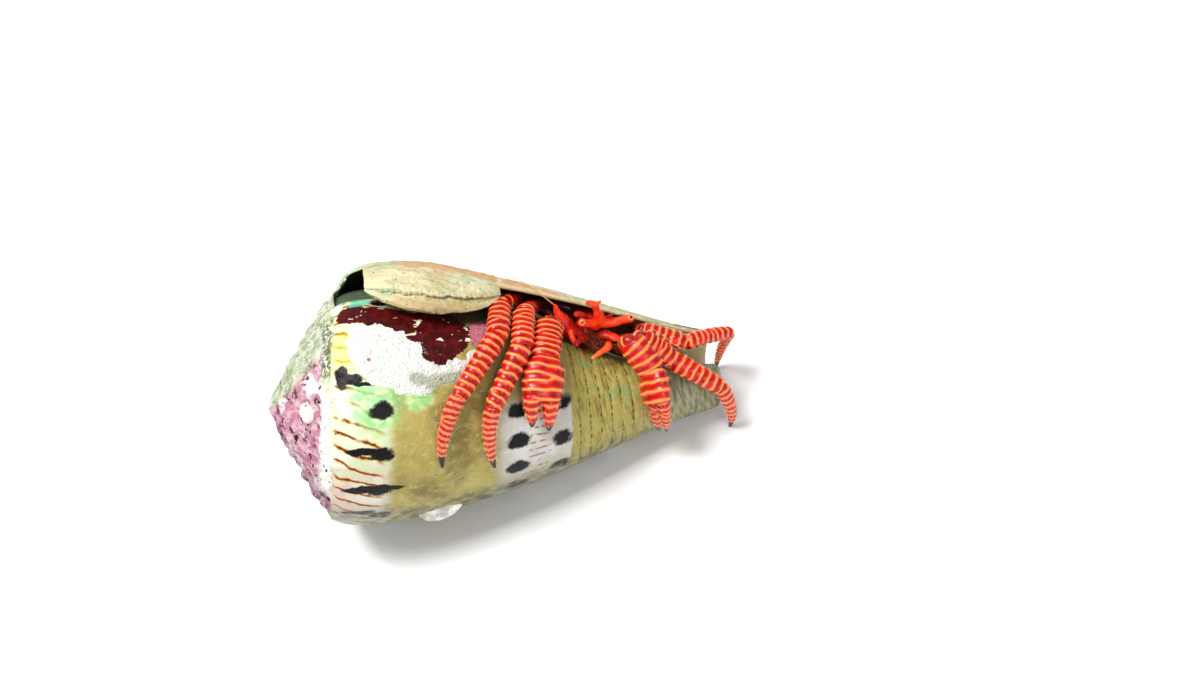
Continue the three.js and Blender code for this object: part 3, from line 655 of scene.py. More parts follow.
class Tube:
    """One tube of a limb: its curve, its profile, its half sizes in mm and its rings."""

    def __init__(
        self, ends, bend, profile, size, roll=0, seed=0, rings=1.0, claw=False, cap=0.5, plain=0, base=-0.7
    ):
        self.a, self.b, self.c = ends[0], bend, ends[1]
        self.profile = profile
        self.half = (size[0] / 2 * TUBE_SHRINK, size[1] / 2 * TUBE_SHRINK)
        places = [bezier(*self.line, i / 8)[0] for i in range(9)]
        self.length = sum((end - start).length for start, end in zip(places, places[1:])) / MM
        self.cap = cap / self.length
        self.rings = max(2, round(self.length / RING_SPACE * rings))
        self.roll, self.seed, self.claw, self.plain, self.base = roll, seed, claw, plain, base
        drawn = random.Random(seed)
        self.forks = [
            (drawn.uniform(0.2, 0.8), drawn.uniform(-2.6, 2.6), drawn.choice((-1, 1)))
            for _ in range(1 + self.rings // 6)
        ]
        self.facing = outward(bezier(*self.line, 0.5)[0])

    @property
    def line(self):
        return self.a, self.b, self.c

    def phase(self, t, turn):
        """How many rings lie before a place."""
        point = Vector((math.cos(turn), math.sin(turn), 2.5 * t * self.length / 10 + self.seed * 7.3))
        wave = self.rings * t + 0.16 * noise.noise(point * 1.7) - 0.1 * math.cos(turn - math.pi / 2)
        for at_t, at_turn, way in self.forks:
            beyond, beside = (t - at_t) * self.length, (turn - at_turn) * self.half[0] * 0.8
            wave += way * math.atan2(beyond, beside) / (2 * math.pi)
        return wave

    def place(self, rows, sides):
        """The law for sweep_ring."""
        def law(row, k):
            t = rows[row]
            point, ahead = bezier(*self.line, clamp(t))
            up = (self.facing - ahead * self.facing.dot(ahead)).normalized()
            up.rotate(Matrix.Rotation(math.radians(self.roll), 3, ahead))
            across = up.cross(ahead)
            turn = 2 * math.pi * k / sides
            turn = turn - 2 * math.pi if turn > math.pi else turn
            end_cap = self.cap * (0.3 if self.claw else 0.6)
            ends = min(1, t / self.cap, (1 - t) / end_cap)
            close = math.sqrt(max(0.0004, 1 - (1 - max(0, ends)) ** 2))
            share = curve_through(self.profile, clamp(t)) * close
            dark = smooth(t, CLAW_FROM, CLAW_TO) if self.claw else 0
            ring = math.cos(2 * math.pi * self.phase(t, turn)) * (1 - dark)
            if self.plain:
                ring = lerp(self.base, ring, smooth(t, self.plain - 0.15, self.plain + 0.05))
            ridge = RING_HEIGHT * (max(0, ring + 0.35) / 1.35) ** 0.7 * close
            ridge *= CLAW_RING_SHARE if self.claw else 1
            w = (self.half[0] * share + ridge - RING_SINK) * math.cos(turn)
            h = (self.half[1] * share + ridge - RING_SINK) * math.sin(turn)
            marks = {"ring": ring, "reach": t, "side": math.sin(turn), "claw": dark}
            return point + (across * w + up * h) * MM, marks
        return law

    def build(self, bm):
        """Sweeps the tube, with close rows at its rounded ends, and returns its law and rows."""
        count = max(FEWEST_ROWS, round(self.rings * ROWS_PER_RING))
        rows = [self.cap * i / END_ROWS * 0.999 for i in range(END_ROWS)]
        rows += [self.cap + (1 - 1.6 * self.cap) * i / count for i in range(count + 1)]
        tail = 1 - rows[-1]
        rows += [rows[-1] + tail * i / END_ROWS for i in range(1, END_ROWS + 1)]
        law = self.place(rows, LIMB_SIDES)
        sweep_ring(bm, law, range(len(rows)), LIMB_SIDES)
        return law, rows

# %% What happens between two tubes
def gap_at(before, joint, after):
    """How far two tubes stop short of the joint between them, in metres."""
    into, out = (joint - before).normalized(), (after - joint).normalized()
    return (JOINT_ROOM * (1 - into.dot(out)) * 0.55 - JOINT_LAP) * MM


def straight(start, end, bow, gaps):
    """The ends and the bend of a tube between two joints, in metres."""
    ahead = (end - start).normalized()
    a, c = start + ahead * gaps[0], end - ahead * gaps[1]
    middle = (a + c) / 2
    facing = outward(middle)
    across = facing.cross(ahead).normalized()
    return (a, c), middle + (facing * 2 * bow[0] + across * 2 * bow[1]) * MM


def membrane(bm, before, joint, after, size):
    """The soft skin inside a joint: a flattened ball in the gap between two tubes."""
    ahead = ((joint - before).normalized() + (after - joint).normalized()).normalized()
    up = outward(joint)
    up = (up - ahead * up.dot(ahead)).normalized()
    turn = Matrix((up.cross(ahead), ahead, up)).transposed().to_4x4()
    wide, high = (s * MEMBRANE_SHARE * MM for s in size)
    move = Matrix.Translation(joint) @ turn @ Matrix.Diagonal((wide, wide, high, 1))
    ball = bmesh.ops.create_icosphere(bm, subdivisions=3, radius=1, matrix=move)
    for v in ball["verts"]:
        v[bm.verts.layers.float["ring"]] = MEMBRANE_MARK


def keep_roots(name, tube, law, rows, tile):
    """Remembers where setae may stand on a tube: on its rings, short of the claw."""
    found = roots.setdefault(name, [])
    for row in range(END_ROWS + 1, len(rows) - END_ROWS - 1):
        for k in range(LIMB_SIDES):
            here, marks = law(row, k)
            if marks["ring"] > 0.2 and marks["claw"] < 0.3:
                ahead = (law(row + 1, k)[0] - here).normalized()
                beside = (law(row, (k + 1) % LIMB_SIDES)[0] - here).normalized()
                normal = ahead.cross(beside).normalized()
                middle = bezier(*tube.line, rows[row])[0]
                normal = normal if normal.dot(here - middle) > 0 else -normal
                found.append((here, normal, ahead, tile, k / LIMB_SIDES, rows[row], marks))

# %% Build the four walking legs
for seed, (name, (size, bend, bow, joints)) in enumerate(WALKING_LEGS.items()):
    hip, knee, ankle, foot, tip = (at(*j) for j in joints)
    elbow = at(*bend)
    thin, broad = (size[0] * 0.9, size[1] * 0.95), (size[0] * 1.08, size[1] * 0.98)
    at_knee, at_ankle = gap_at(elbow, knee, ankle), gap_at(knee, ankle, foot)
    at_foot = gap_at(ankle, foot, tip)
    knee_way = (knee - elbow).normalized()
    merus_ends = (hip, knee - knee_way * at_knee)
    carpus_line = straight(knee, ankle, (0.25, 0), (at_knee, at_ankle))
    propodus_line = straight(ankle, foot, (0.35, 0), (at_ankle, at_foot))
    dactyl_line = straight(foot, tip, bow, (at_foot, 0))
    first_seed = seed * 5
    tubes = [
        # base -1.25 marks the merus, which lies deep in the hollow, for painted shade: the limb look paints
        # it dark maroon
        Tube(merus_ends, elbow, MERUS, thin, seed=first_seed, plain=0.88, base=-1.25),
        Tube(*carpus_line, CARPUS, broad, seed=first_seed + 1, rings=1.1),
        Tube(*propodus_line, PROPODUS, size, seed=first_seed + 2),
        Tube(*dactyl_line, DACTYL, size, seed=first_seed + 3, rings=1.25, claw=True),
    ]
    bm = new_bmesh(LIMB_MARKS)
    for tile, tube in enumerate(tubes):
        started = len(bm.verts)
        law, rows = tube.build(bm)
        keep_roots("leg_" + name, tube, law, rows, tile)
    dactyl_corners["skin_leg_" + name] = (started, len(bm.verts))
    for before, joint, after in ((elbow, knee, ankle), (knee, ankle, foot), (ankle, foot, tip)):
        membrane(bm, before, joint, after, thin)
    for v in bm.verts:
        v.co.z = max(v.co.z, 0)
        v.co.x = min(v.co.x, cad_high[0] - BOX_GAP * MM)
    parts = ["leg_" + name + "_" + part for part in ("merus", "carpus", "propodus", "dactyl")]
    new_piece("skin_leg_" + name, bm, parts)

# %% [markdown]
# The claws are the same kind of chain, but the last tube is a broad, flat hand. One finger is part of
# the hand, and the other is a piece of its own that closes against it.

# %% Build the two clawed arms
for seed, (side, claw) in enumerate(CLAW_LEGS.items()):
    hip, knee, wrist = (at(*j) for j in claw["joints"])
    elbow, knuckle = at(*claw["bend"]), at(*claw["knuckle"])
    at_knee, at_wrist = gap_at(elbow, knee, wrist), gap_at(knee, wrist, knuckle)
    knee_way = (knee - elbow).normalized()
    roll, name = claw["roll"], "claw_" + side
    fixed, moving = ([at(*p) for p in claw[finger]] for finger in ("fixed", "moving"))
    merus_ends = (hip, knee - knee_way * at_knee)
    carpus_line = straight(knee, wrist, (0.2, 0), (at_knee, at_wrist))
    palm_line = straight(wrist, knuckle, (0.15, 0), (at_wrist, -0.1 * MM))
    fixed_line, moving_line = (straight(*ends, (0.25, 0), (0, 0)) for ends in (fixed, moving))
    arm = [
        Tube(merus_ends, elbow, MERUS, UPPER_ARM, seed=31 + seed, plain=0.62),
        Tube(*carpus_line, CARPUS, ARM, roll / 2, 33 + seed, 1.1),
    ]
    hand = [
        Tube(*palm_line, HAND, PALM, roll, 35 + seed, 0.84, cap=0.7),
        Tube(*fixed_line, CLAW_FINGER, FINGER, roll, 37 + seed, 1.15, True),
    ]
    finger = [Tube(*moving_line, CLAW_FINGER, FINGER, roll, 39 + seed, 1.15, True)]
    for label, tubes, parts in (
        ("arm", arm, ["merus", "carpus"]), ("hand", hand, ["palm"]), ("finger", finger, ["finger"]),
    ):
        bm = new_bmesh(LIMB_MARKS)
        for tile, tube in enumerate(tubes):
            law, rows = tube.build(bm)
            keep_roots(name + "_" + label, tube, law, rows, tile)
        if label == "arm":
            membrane(bm, elbow, knee, wrist, UPPER_ARM)
            membrane(bm, knee, wrist, knuckle, ARM)
        new_piece("skin_" + name + "_" + label, bm, [name + "_" + p for p in parts])
print("places for setae:", sum(map(len, roots.values())))

# %% [markdown]
# ## The head
# The head is what a visitor looks at first. Two stout eyestalks stand out of it, each with a round
# eye whose dark spot lies in a pale ring. Between and below them are the small first feelers with
# their bent tips, the thick bases of the long feelers, and the mouth's pair of jointed palps. All of
# them are slender tubes that swell and narrow, so one helper sweeps a ring along a smooth path.

# %% Slender parts along a path
FACE_MARKS = ("reach", "side", "spot")


def path_at(points, t):
    """A point and the direction of travel on a smooth curve through the points."""
    spans = len(points) - 1
    i = min(int(t * spans), spans - 1)
    s = t * spans - i
    before, a, b, after = (points[clamp(i + k, 0, spans)] for k in (-1, 0, 1, 2))
    ta, tb = (b - before) / 2, (after - a) / 2
    point = a * (2 * s**3 - 3 * s**2 + 1) + ta * (s**3 - 2 * s**2 + s)
    point = point + b * (3 * s**2 - 2 * s**3) + tb * (s**3 - s**2)
    ahead = a * (6 * s**2 - 6 * s) + ta * (3 * s**2 - 4 * s + 1)
    ahead = ahead + b * (6 * s - 6 * s**2) + tb * (3 * s**2 - 2 * s)
    return point, ahead.normalized()


def sweep_path(bm, places, radii, sides=20, rows=40, flat=1.0, rough_size=0.0, rings=0, cap=0.06):
    """A slender body through places, with radii in mm spread evenly along it."""
    points = [p if isinstance(p, Vector) else at(*p) for p in places]
    sizes = [(i / (len(radii) - 1), r) for i, r in enumerate(radii)]
    facing = outward(path_at(points, 0.5)[0])

    def law(row, k):
        t = row / rows
        point, ahead = path_at(points, t)
        up = (facing - ahead * facing.dot(ahead)).normalized()
        turn = 2 * math.pi * k / sides
        ends = min(1, t / cap, (1 - t) / cap)
        close = math.sqrt(max(0.003, 1 - (1 - ends) ** 2))
        size = curve_through(sizes, t) * close
        joint = 1 - 0.16 * (0.5 + 0.5 * math.cos(2 * math.pi * rings * t)) ** 6 if rings else 1
        spread = (up.cross(ahead) * math.cos(turn) + up * math.sin(turn) * flat) * size * joint * MM
        here = point + spread
        if rough_size:
            here = here + spread.normalized() * rough_size * MM * rough(here, 0.7) * close
        return here, {"reach": t, "side": math.sin(turn)}

    sweep_ring(bm, law, range(rows + 1), sides)

# %% [markdown]
# A crab's eye sits on a stiff stalk that swells at its root. The stalk is swept like a feeler, and the
# eye is a ball that is turned to lie across the end of the stalk. Every corner of the ball keeps its
# angle from the way the eye looks, so the dark spot can be coloured where it belongs.

# %% Build the stalks and the eyes
EYESTALKS = {  # the line of the stalk from its root to its tip, and the way that the dark spot looks
    "right": ((49.2, -13, 10.4), (46.1, 0, 13.0), Vector((0.12, -0.72, 0.66))),
    "left": ((50.7, -13, 10.4), (54.4, -4.5, 12.3), Vector((0.3, -0.5, 0.8))),
}
STALK_STARTS = {"right": (49.2, -13, 10.4), "left": (49.5, -12.5, 10.9)}  # where its mesh starts
STALK_RADII = [0.62 * share for share in (1.5, 1.42, 1.12, 0.98, 0.98, 1.04)]
EYE_RADIUS, EYE_FLATNESS, EYE_NECK = 0.66, 0.92, 0.5


def build_eye(side):
    """The stalk and the eye on it."""
    root, tip = (at(*p) for p in EYESTALKS[side][:2])
    ahead = (tip - root).normalized()
    neck = tip - ahead * EYE_NECK * MM
    stalk = [at(*STALK_STARTS[side]), lerp(root, neck, 0.3), lerp(root, neck, 0.65), neck + ahead * 0.12 * MM]
    bm = new_bmesh(FACE_MARKS)
    sweep_path(bm, stalk, STALK_RADII, 24, 36)
    new_piece("skin_eyestalk_" + side, bm, ["eyestalk_" + side])
    bm = new_bmesh(FACE_MARKS)
    spot = bm.verts.layers.float["spot"]
    ball = bmesh.ops.create_uvsphere(bm, u_segments=40, v_segments=24, radius=EYE_RADIUS * MM)["verts"]
    gaze = EYESTALKS[side][2].normalized()
    turn_to = ahead.to_track_quat("Z", "Y").to_matrix()
    centre = neck - ahead * 0.02 * MM
    for v in ball:
        v.co.z *= EYE_FLATNESS
        v.co = turn_to @ v.co + centre
        v[spot] = (v.co - centre).angle(gaze)
    new_piece("skin_eye_" + side, bm, ["eye_" + side])


for side in EYESTALKS:
    build_eye(side)

# %% [markdown]
# The first feelers bend at the tip like a small hammer, the long feelers stand on thick bases, and the
# palps hang before the mouth. They differ only in their path, their radii and their joints, so a table
# holds them and one loop sweeps them all.

# %% Build the feelers, their bases and the palps
SLENDER = {  # name: places, radii in mm, flatness, roughness in mm, joints
    "antennule_right": (
        [(46.6, -9, 8.4), (45.3, -4, 10.4), (44.8, 0.5, 11.1), (44.9, 4.5, 10.7), (45.4, 7.5, 9.9)],
        [0.6, 0.55, 0.46, 0.44, 0.42, 0.25], 1, 0.06, 3),
    "antennule_left": (
        [(49.7, -11, 10.9), (49.2, -7.5, 12.6), (48.7, -5, 14.3), (48.2, -4, 15.5), (46.9, -4, 15.8)],
        [0.95, 0.85, 0.66, 0.54, 0.56, 0.44, 0.2], 1, 0.05, 0),
    "antenna_base_right": (
        [(46.9, -9, 8.8), (45.0, -8, 10.3), (43.8, -9, 12.2), (43.0, -8.5, 13.6), (42.5, -8, 15.2)],
        [1.2, 1.5, 1.4, 0.95, 0.55, 0.18], 0.85, 0.12, 0),
    "antenna_base_left": (
        [(49.4, -8, 9.0), (50.5, -3, 9.6), (51.4, 2, 9.8), (52.2, 6, 9.9)],
        [0.7, 0.85, 0.78, 0.66, 0.4], 0.7, 0.04, 2),
    "feeler_right": (
        [(42.5, -8, 15.0), (40.4, -7, 17.2), (38.3, -6.5, 19.2), (36.2, -6, 21.0)],
        [0.12, 0.08, 0.07, 0.05], 1, 0, 26),
    "feeler_left": (
        [(51.9, 5, 9.8), (54.2, 8, 9.6), (56.8, 7, 11.9), (60.1, 14, 9.8), (62, 22, 9.6)],
        [0.07, 0.05, 0.045, 0.04, 0.03], 1, 0, 34),
    "maxilliped_right": (
        [(47.9, -8, 8.2), (46.6, 0, 9.6), (46.0, 6, 10.4), (45.2, 12, 10.5)],
        [0.5, 0.6, 0.55, 0.42, 0.2], 1, 0.05, 3),
    "maxilliped_left": (
        [(51, -6, 6.9), (50.7, 3, 8.6), (50.2, 11, 9.2), (48.9, 17, 9.6), (47.4, 23, 9.9)],
        [0.45, 0.55, 0.62, 0.48, 0.36, 0.12], 1, 0.05, 3),
}
SPUR = [(48.2, -4, 15.1), (48.8, -3.6, 15.8), (49.2, -3.2, 16.2)]  # on the left first feeler's tip
SPUR_RADII = [0.36, 0.28, 0.12]
MANY_JOINTS, FEW_ROWS, MANY_ROWS = 10, 60, 150
for name, (places, radii, flat, rough_size, rings) in SLENDER.items():
    bm = new_bmesh(FACE_MARKS)
    rows = FEW_ROWS if rings < MANY_JOINTS else MANY_ROWS
    sweep_path(bm, places, radii, 18, rows, flat, rough_size, rings)
    if name == "antennule_left":
        sweep_path(bm, SPUR, SPUR_RADII, 12, 14, cap=0.2)
    new_piece("skin_" + name, bm, [name])

# %% [markdown]
# Behind the eyes lies the shield, a hard plate with a groove across it and a small point between the
# eyestalks. Below it are the mouthparts, and the rest of the animal is a soft bag that winds up into
# the shell. A crab has bone-like plates in front and bare skin behind, so the shield is a piece of
# its own, and one skin runs from the mouth to the end of the tail with no seam.

# %% Build the shield
BODY_CENTRE = 49.8
BODY_CLEARANCE = 0.4  # mm between the body and the walls of the hollow
SHIELD_SLICES = [(0.004, 0.3), (0.008, 0.5), (0.018, 0.8), (0.055, 1), (0.094, 0.96), (0.11, 0.82)]
SHIELD_HALF, SHIELD_ROWS, SHIELD_SIDES, SHIELD_LIFT = 3.05, 44, 48, 0.05
GROOVE_TURN, GROOVE_BEND, GROOVE_HALF = 0.062, 0.012, 0.006
BEAK = [(50, -16.2, 11.6), (49.95, -14.5, 12.2), (49.9, -12.6, 12.3)]
RED_SCALE = [(47.6, -14, 11.2), (46.6, -10, 12.6), (45.6, -6, 13.2)]  # over the right eye


def body_oval(turn, centre, half, low, high, side):
    """A place on an oval between the hollow's floor and its roof."""
    along = centre - half * math.cos(side)
    floor = radius_at(turn + 1, along) + BODY_CLEARANCE
    roof = radius_at(max(turn, 0), along) - WALL - BODY_CLEARANCE
    return at(along, angle_of(turn), lerp(floor, roof, lerp(low, high, (1 + math.sin(side)) / 2)))


def shield_law(row, k):
    """Where corner k of the shield lies: an arched oval with a groove across its back."""
    turn = lerp(SHIELD_SLICES[0][0], SHIELD_SLICES[-1][0], row / SHIELD_ROWS)
    rounded = math.sqrt(min(1, 0.02 + row / 5, 0.02 + (SHIELD_ROWS - row) / 3))
    share = curve_through(SHIELD_SLICES, turn) * rounded
    side = 2 * math.pi * (k + 0.5) / SHIELD_SIDES
    from_groove = abs(turn - GROOVE_TURN - GROOVE_BEND * math.cos(2 * side))
    groove = 0.06 * (1 - smooth(from_groove, 0, GROOVE_HALF)) * max(0, math.sin(side))
    low, high = 0.62 - 0.04 * share, 0.7 + (0.26 - groove) * share
    here = body_oval(turn, BODY_CENTRE, SHIELD_HALF * share, low, high, side)
    here = here + outward(here) * SHIELD_LIFT * MM * rough(here, 0.6, 3)
    return here, {"reach": turn / SHIELD_SLICES[-1][0], "side": math.sin(side)}


bm = new_bmesh(FACE_MARKS)
sweep_ring(bm, shield_law, range(SHIELD_ROWS + 1), SHIELD_SIDES)
sweep_path(bm, BEAK, [0.75, 0.5, 0.1], 16, 16, 0.6)
for out in (-1, 1):
    # the small pointed scale at the root of each eyestalk
    scale = [(50 + 0.75 * out, -12.5, 11.2), (50 + 1.0 * out, -10.3, 12.1), (50 + 1.5 * out, -8.2, 12.4)]
    sweep_path(bm, scale, [0.42, 0.36, 0.08], 14, 16, 0.6)
sweep_path(bm, RED_SCALE, [0.8, 0.95, 0.8, 0.3], 16, 20, 0.6, 0.08)
new_piece("skin_shield", bm, ["shield"])

# %% Build the soft body
TAIL_FROM, TAIL_TO, TAIL_START, TAIL_END = 0.225, 0.52, 46.6, 24.5
TAIL_HALF, TAIL_SLICES, TAIL_NARROWING, TAIL_CURVE = 4.4, 5, 0.42, 0.9
LAST_NARROWING, LAST_INSET = 0.7, 0.2  # before the tail fan the tail draws in once more
WRINKLE, WRINKLES_PER_TURN = 0.09, 330


def body_slices():
    """(turn, centre along, half width, low share, high share) from the mouth to the tail fan."""
    slices = [
        (-0.024, 48.9, 1.4, 0.2, 0.44), (0, 48.9, 2.6, 0.13, 0.52), (0.05, 49.3, 2.6, 0.11, 0.54),
        (0.1, 49.45, 2.3, 0.12, 0.5), (0.128, 49.3, 3.2, 0.12, 0.86), (0.17, 48.5, 3.6, 0.08, 0.93),
    ]
    for i in range(TAIL_SLICES):
        s, last = i / (TAIL_SLICES - 1), i == TAIL_SLICES - 1
        centre = lerp(TAIL_START, TAIL_END, s ** TAIL_CURVE)
        half = TAIL_HALF * (1 - TAIL_NARROWING * s) * (LAST_NARROWING if last else 1)
        inset = LAST_INSET * last
        slices.append((lerp(TAIL_FROM, TAIL_TO, s), centre, half, 0.1 + inset, 0.9 - inset))
    return slices + [(0.555, 22.2, 2.7, 0.24, 0.76), (0.583, 20.9, 1.7, 0.32, 0.66)]


SLICES = body_slices()
BODY_ROWS, BODY_SIDES = 190, 40


def soft_law(row, k):
    """Where corner k of the soft body lies, with the fine wrinkles of bare skin."""
    turn = lerp(SLICES[0][0], SLICES[-1][0], row / BODY_ROWS)
    centre, half, low, high = (curve_through([(s[0], s[i]) for s in SLICES], turn) for i in range(1, 5))
    ends = math.sqrt(min(1, 0.004 + row / 7, 0.004 + (BODY_ROWS - row) / 5))
    half, middle = half * ends, (low + high) / 2
    low, high = middle - (middle - low) * ends, middle + (high - middle) * ends
    side = 2 * math.pi * (k + 0.5) / BODY_SIDES
    here = body_oval(turn, centre, half, low, high, side)
    wrinkle = WRINKLE * math.sin(turn * WRINKLES_PER_TURN) * smooth(turn, 0.2, 0.25)
    wrinkle += 0.12 * rough(here, 1.0, 3)
    return here + outward(here) * MM * (wrinkle - 0.1) * ends, {"reach": turn, "side": math.sin(side)}


bm = new_bmesh(FACE_MARKS)
sweep_ring(bm, soft_law, range(BODY_ROWS + 1), BODY_SIDES)
SOFT_PARTS = ["mouthparts", "thorax", "abdomen_1", "abdomen_2", "abdomen_3", "tail_fan"]
new_piece("skin_soft_body", bm, SOFT_PARTS)

# %% [markdown]
# Two short pairs of rear legs hold the animal in its shell. They press against the wall inside with
# rough pads, out of sight from the front.

# %% Build the rear legs
REAR_PAIRS = {4: 0.13, 5: 0.185}  # pair: the turn where it stands
REAR_REACH = ((4.7, 0, 0.35), (6.3, -0.006, 0.5), (7, 0.012, 0.62))  # (mm sideways, turns on, share up)
REAR_RADII, REAR_CLEARANCE = [0.4, 0.52, 0.55, 0.48, 0.3], 0.6
for side, sign in (("right", -1), ("left", 1)):
    for pair, turn in REAR_PAIRS.items():
        centre = BODY_CENTRE - 22 * (turn - 0.11)
        places = []
        for out, later, share in REAR_REACH:
            along, t = centre + sign * out, turn + later
            low = radius_at(t + 1, along) + REAR_CLEARANCE
            high = radius_at(t, along) - WALL - REAR_CLEARANCE
            places.append((along, angle_of(t), lerp(low, high, share)))
        bm = new_bmesh(FACE_MARKS)
        sweep_path(bm, places, REAR_RADII, 14, 30, 1, 0.04, 3)
        name = "leg_" + side + "_" + str(pair)
        new_piece("skin_" + name, bm, [name])

# %% [markdown]
# ## Writing colours as sums
# A look is built from nodes, but a long chain of Math nodes is hard to read. So a socket is wrapped in
# a small class whose plus, minus, times and divide add the Math nodes. A mask then reads like the
# sentence that describes it. Any other node comes from one method.

# %% The node helpers
class Value:
    """A number that changes over a surface."""

    def __init__(self, look, socket):
        self.look, self.socket = look, socket

    def math(self, operation, *others):
        node = self.look.node("ShaderNodeMath", {"operation": operation}, dict(enumerate((self, *others))))
        return Value(self.look, node.outputs[0])

    def __add__(self, other):
        return self.math("ADD", other)

    def __mul__(self, other):
        return self.math("MULTIPLY", other)

    def __sub__(self, other):
        return self.math("SUBTRACT", other)

    def __truediv__(self, other):
        return self.math("DIVIDE", other)

    def __rsub__(self, other):
        return (self * -1) + other

    def __rtruediv__(self, other):
        return self.math("POWER", -1) * other

    def __pow__(self, other):
        return self.math("POWER", other)

    __radd__, __rmul__ = __add__, __mul__

    def over(self, low, high):
        """A soft step: 0 below low, 1 above high, or the other way round where low is the larger."""
        ends = {"Value": self, "From Min": low, "From Max": high}
        node = self.look.node("ShaderNodeMapRange", {"interpolation_type": "SMOOTHSTEP"}, ends)
        return Value(self.look, node.outputs[0])

    def under(self, low, high):
        """The soft step turned round: 1 below low and 0 above high."""
        return self.over(high, low)

    def sin(self):
        return self.math("SINE")

    def cos(self):
        return self.math("COSINE")

    def size(self):
        return self.math("ABSOLUTE")

    def wrap(self):
        """The distance to the nearest whole number."""
        return (self - self.math("ROUND")).size()

    def most(self, other):
        return self.math("MAXIMUM", other)

    def least(self, other):
        return self.math("MINIMUM", other)


def srgb(red, green, blue):
    """A colour as a paint chart gives it, from 0 to 255, made linear."""
    linear = [((c / 255 + 0.055) / 1.055) ** 2.4 if c > 10 else c / 3295 for c in (red, green, blue)]
    return (*linear, 1.0)


class Look:
    """One material and the nodes that it is built from."""

    def __init__(self, material):
        self.material = bpy.data.materials.new(material) if isinstance(material, str) else material
        self.material.use_nodes = True
        self.tree = self.material.node_tree
        self.tree.nodes.clear()
        self.coords = self.node("ShaderNodeTexCoord").outputs["Object"]

    def node(self, kind, settings=None, inputs=None):
        """Any node: its settings first, then the values or links of its sockets."""
        node = self.tree.nodes.new(kind)
        for key, value in (settings or {}).items():
            setattr(node, key, value)
        for key, value in (inputs or {}).items():
            value = value.socket if isinstance(value, Value) else value
            if isinstance(value, bpy.types.NodeSocket):
                self.tree.links.new(value, node.inputs[key])
            else:
                node.inputs[key].default_value = value
        return node

    def noise(self, size, detail=2.0, roughness=0.55, stretch=None, shift=0.0):
        """Cloudy noise around 0.5 with lumps of a size in mm. stretch draws it out along the shell."""
        where = self.coords
        if stretch:
            turned = {"Vector": where, "Rotation": (0, -PITCH, 0), "Scale": stretch}
            where = self.node("ShaderNodeMapping", None, turned).outputs[0]
        inputs = {"Vector": where, "Scale": 1 / (size * MM), "W": shift}
        inputs.update({"Detail": detail, "Roughness": roughness})
        node = self.node("ShaderNodeTexNoise", {"noise_dimensions": "4D"}, inputs)
        return Value(self, node.outputs["Fac"])

    def cells(self, size, feature="F1"):
        """The distance to the nearest of scattered points, in cells of a size in mm."""
        inputs = {"Vector": self.coords, "Scale": 1 / (size * MM)}
        node = self.node("ShaderNodeTexVoronoi", {"feature": feature}, inputs)
        return Value(self, node.outputs["Distance"])

    def mark(self, name):
        """A number kept on the mesh's corners."""
        node = self.node("ShaderNodeAttribute", {"attribute_name": name})
        return Value(self, node.outputs["Fac"])

    def along(self, axis):
        """How far a place lies along an axis from the apex, in mm."""
        node = self.node("ShaderNodeVectorMath", {"operation": "DOT_PRODUCT"}, {0: self.coords, 1: axis / MM})
        return Value(self, node.outputs["Value"]) - APEX.dot(axis)

    def mix(self, factor, first, second):
        """A colour between two: each is a socket, or red, green and blue from a paint chart."""
        first, second = (srgb(*c) if isinstance(c, tuple) else c for c in (first, second))
        inputs = {0: factor, 6: first, 7: second}
        return self.node("ShaderNodeMix", {"data_type": "RGBA"}, inputs).outputs[2]

    def paint(self, colour, *coats):
        """A colour with coats laid over it one after another, each a mask and a colour."""
        for mask, paint in coats:
            colour = self.mix(mask, colour, paint)
        return colour

    def finish(self, colour, roughness, height=None, depth=0.0001, **fixed):
        """Joins it all in one shader, with a bump where a height is given."""
        inputs = {"Base Color": colour, "Roughness": roughness}
        inputs.update({key.replace("_", " "): value for key, value in fixed.items()})
        if height is not None:
            bump = self.node("ShaderNodeBump", None, {"Height": height, "Distance": depth, "Strength": 1.0})
            inputs["Normal"] = bump.outputs[0]
        shader = self.node("ShaderNodeBsdfPrincipled", None, inputs)
        self.node("ShaderNodeOutputMaterial", None, {"Surface": shader.outputs[0]})
        print("look:", self.material.name, len(self.tree.nodes), "nodes")
        return self.material

# %% [markdown]
# ## The shell's colours
# The shell's own pattern runs in belts: thin brown lines and black spots on the shoulder, a white
# belt with two rows of round black spots and small brown dashes, and a plain front half. Over it lie
# an olive film, crusts of white, dark red and purple, green stains, and chalky pink growth on the
# spire. Every mask below is worked out from where a place lies along and round the shell.

# %% Measure every place on the outside
look = Look(outside_look)
along_mm = look.along(ALONG_AXIS)
up_mm, front_mm = look.along(UP_AXIS), look.along(FRONT_AXIS)
angle_deg = front_mm.math("ARCTAN2", up_mm) * (180 / math.pi)
radius_mm = (up_mm * up_mm + front_mm * front_mm) ** 0.5
turn_share = (LIP_ANGLE - angle_deg) / 360
turn_share = turn_share - turn_share.math("FLOOR")
shrink = (turn_share * -math.log(GROWTH)).math("EXPONENT")
lean = (1 - ((angle_deg - LEAN_ANGLE) * (math.pi / 180)).cos()) * -LEAN_SIZE
shoulder_at = (lean + SHOULDER_ALONG) * shrink
place_mm = along_mm + (SHOULDER_ALONG - shoulder_at) * along_mm.over(SHOULDER_FADE, SHOULDER_ALONG)
from_shoulder = along_mm - shoulder_at
arc = radius_mm * (math.pi / 180)  # mm for each degree round the shell

coarse = look.noise(4.5, 3) - 0.5
fine = look.noise(1.1, 4) - 0.5
grain = look.noise(0.35, 3) - 0.5
wave = look.noise(2.4, 2, shift=3.0) - 0.5

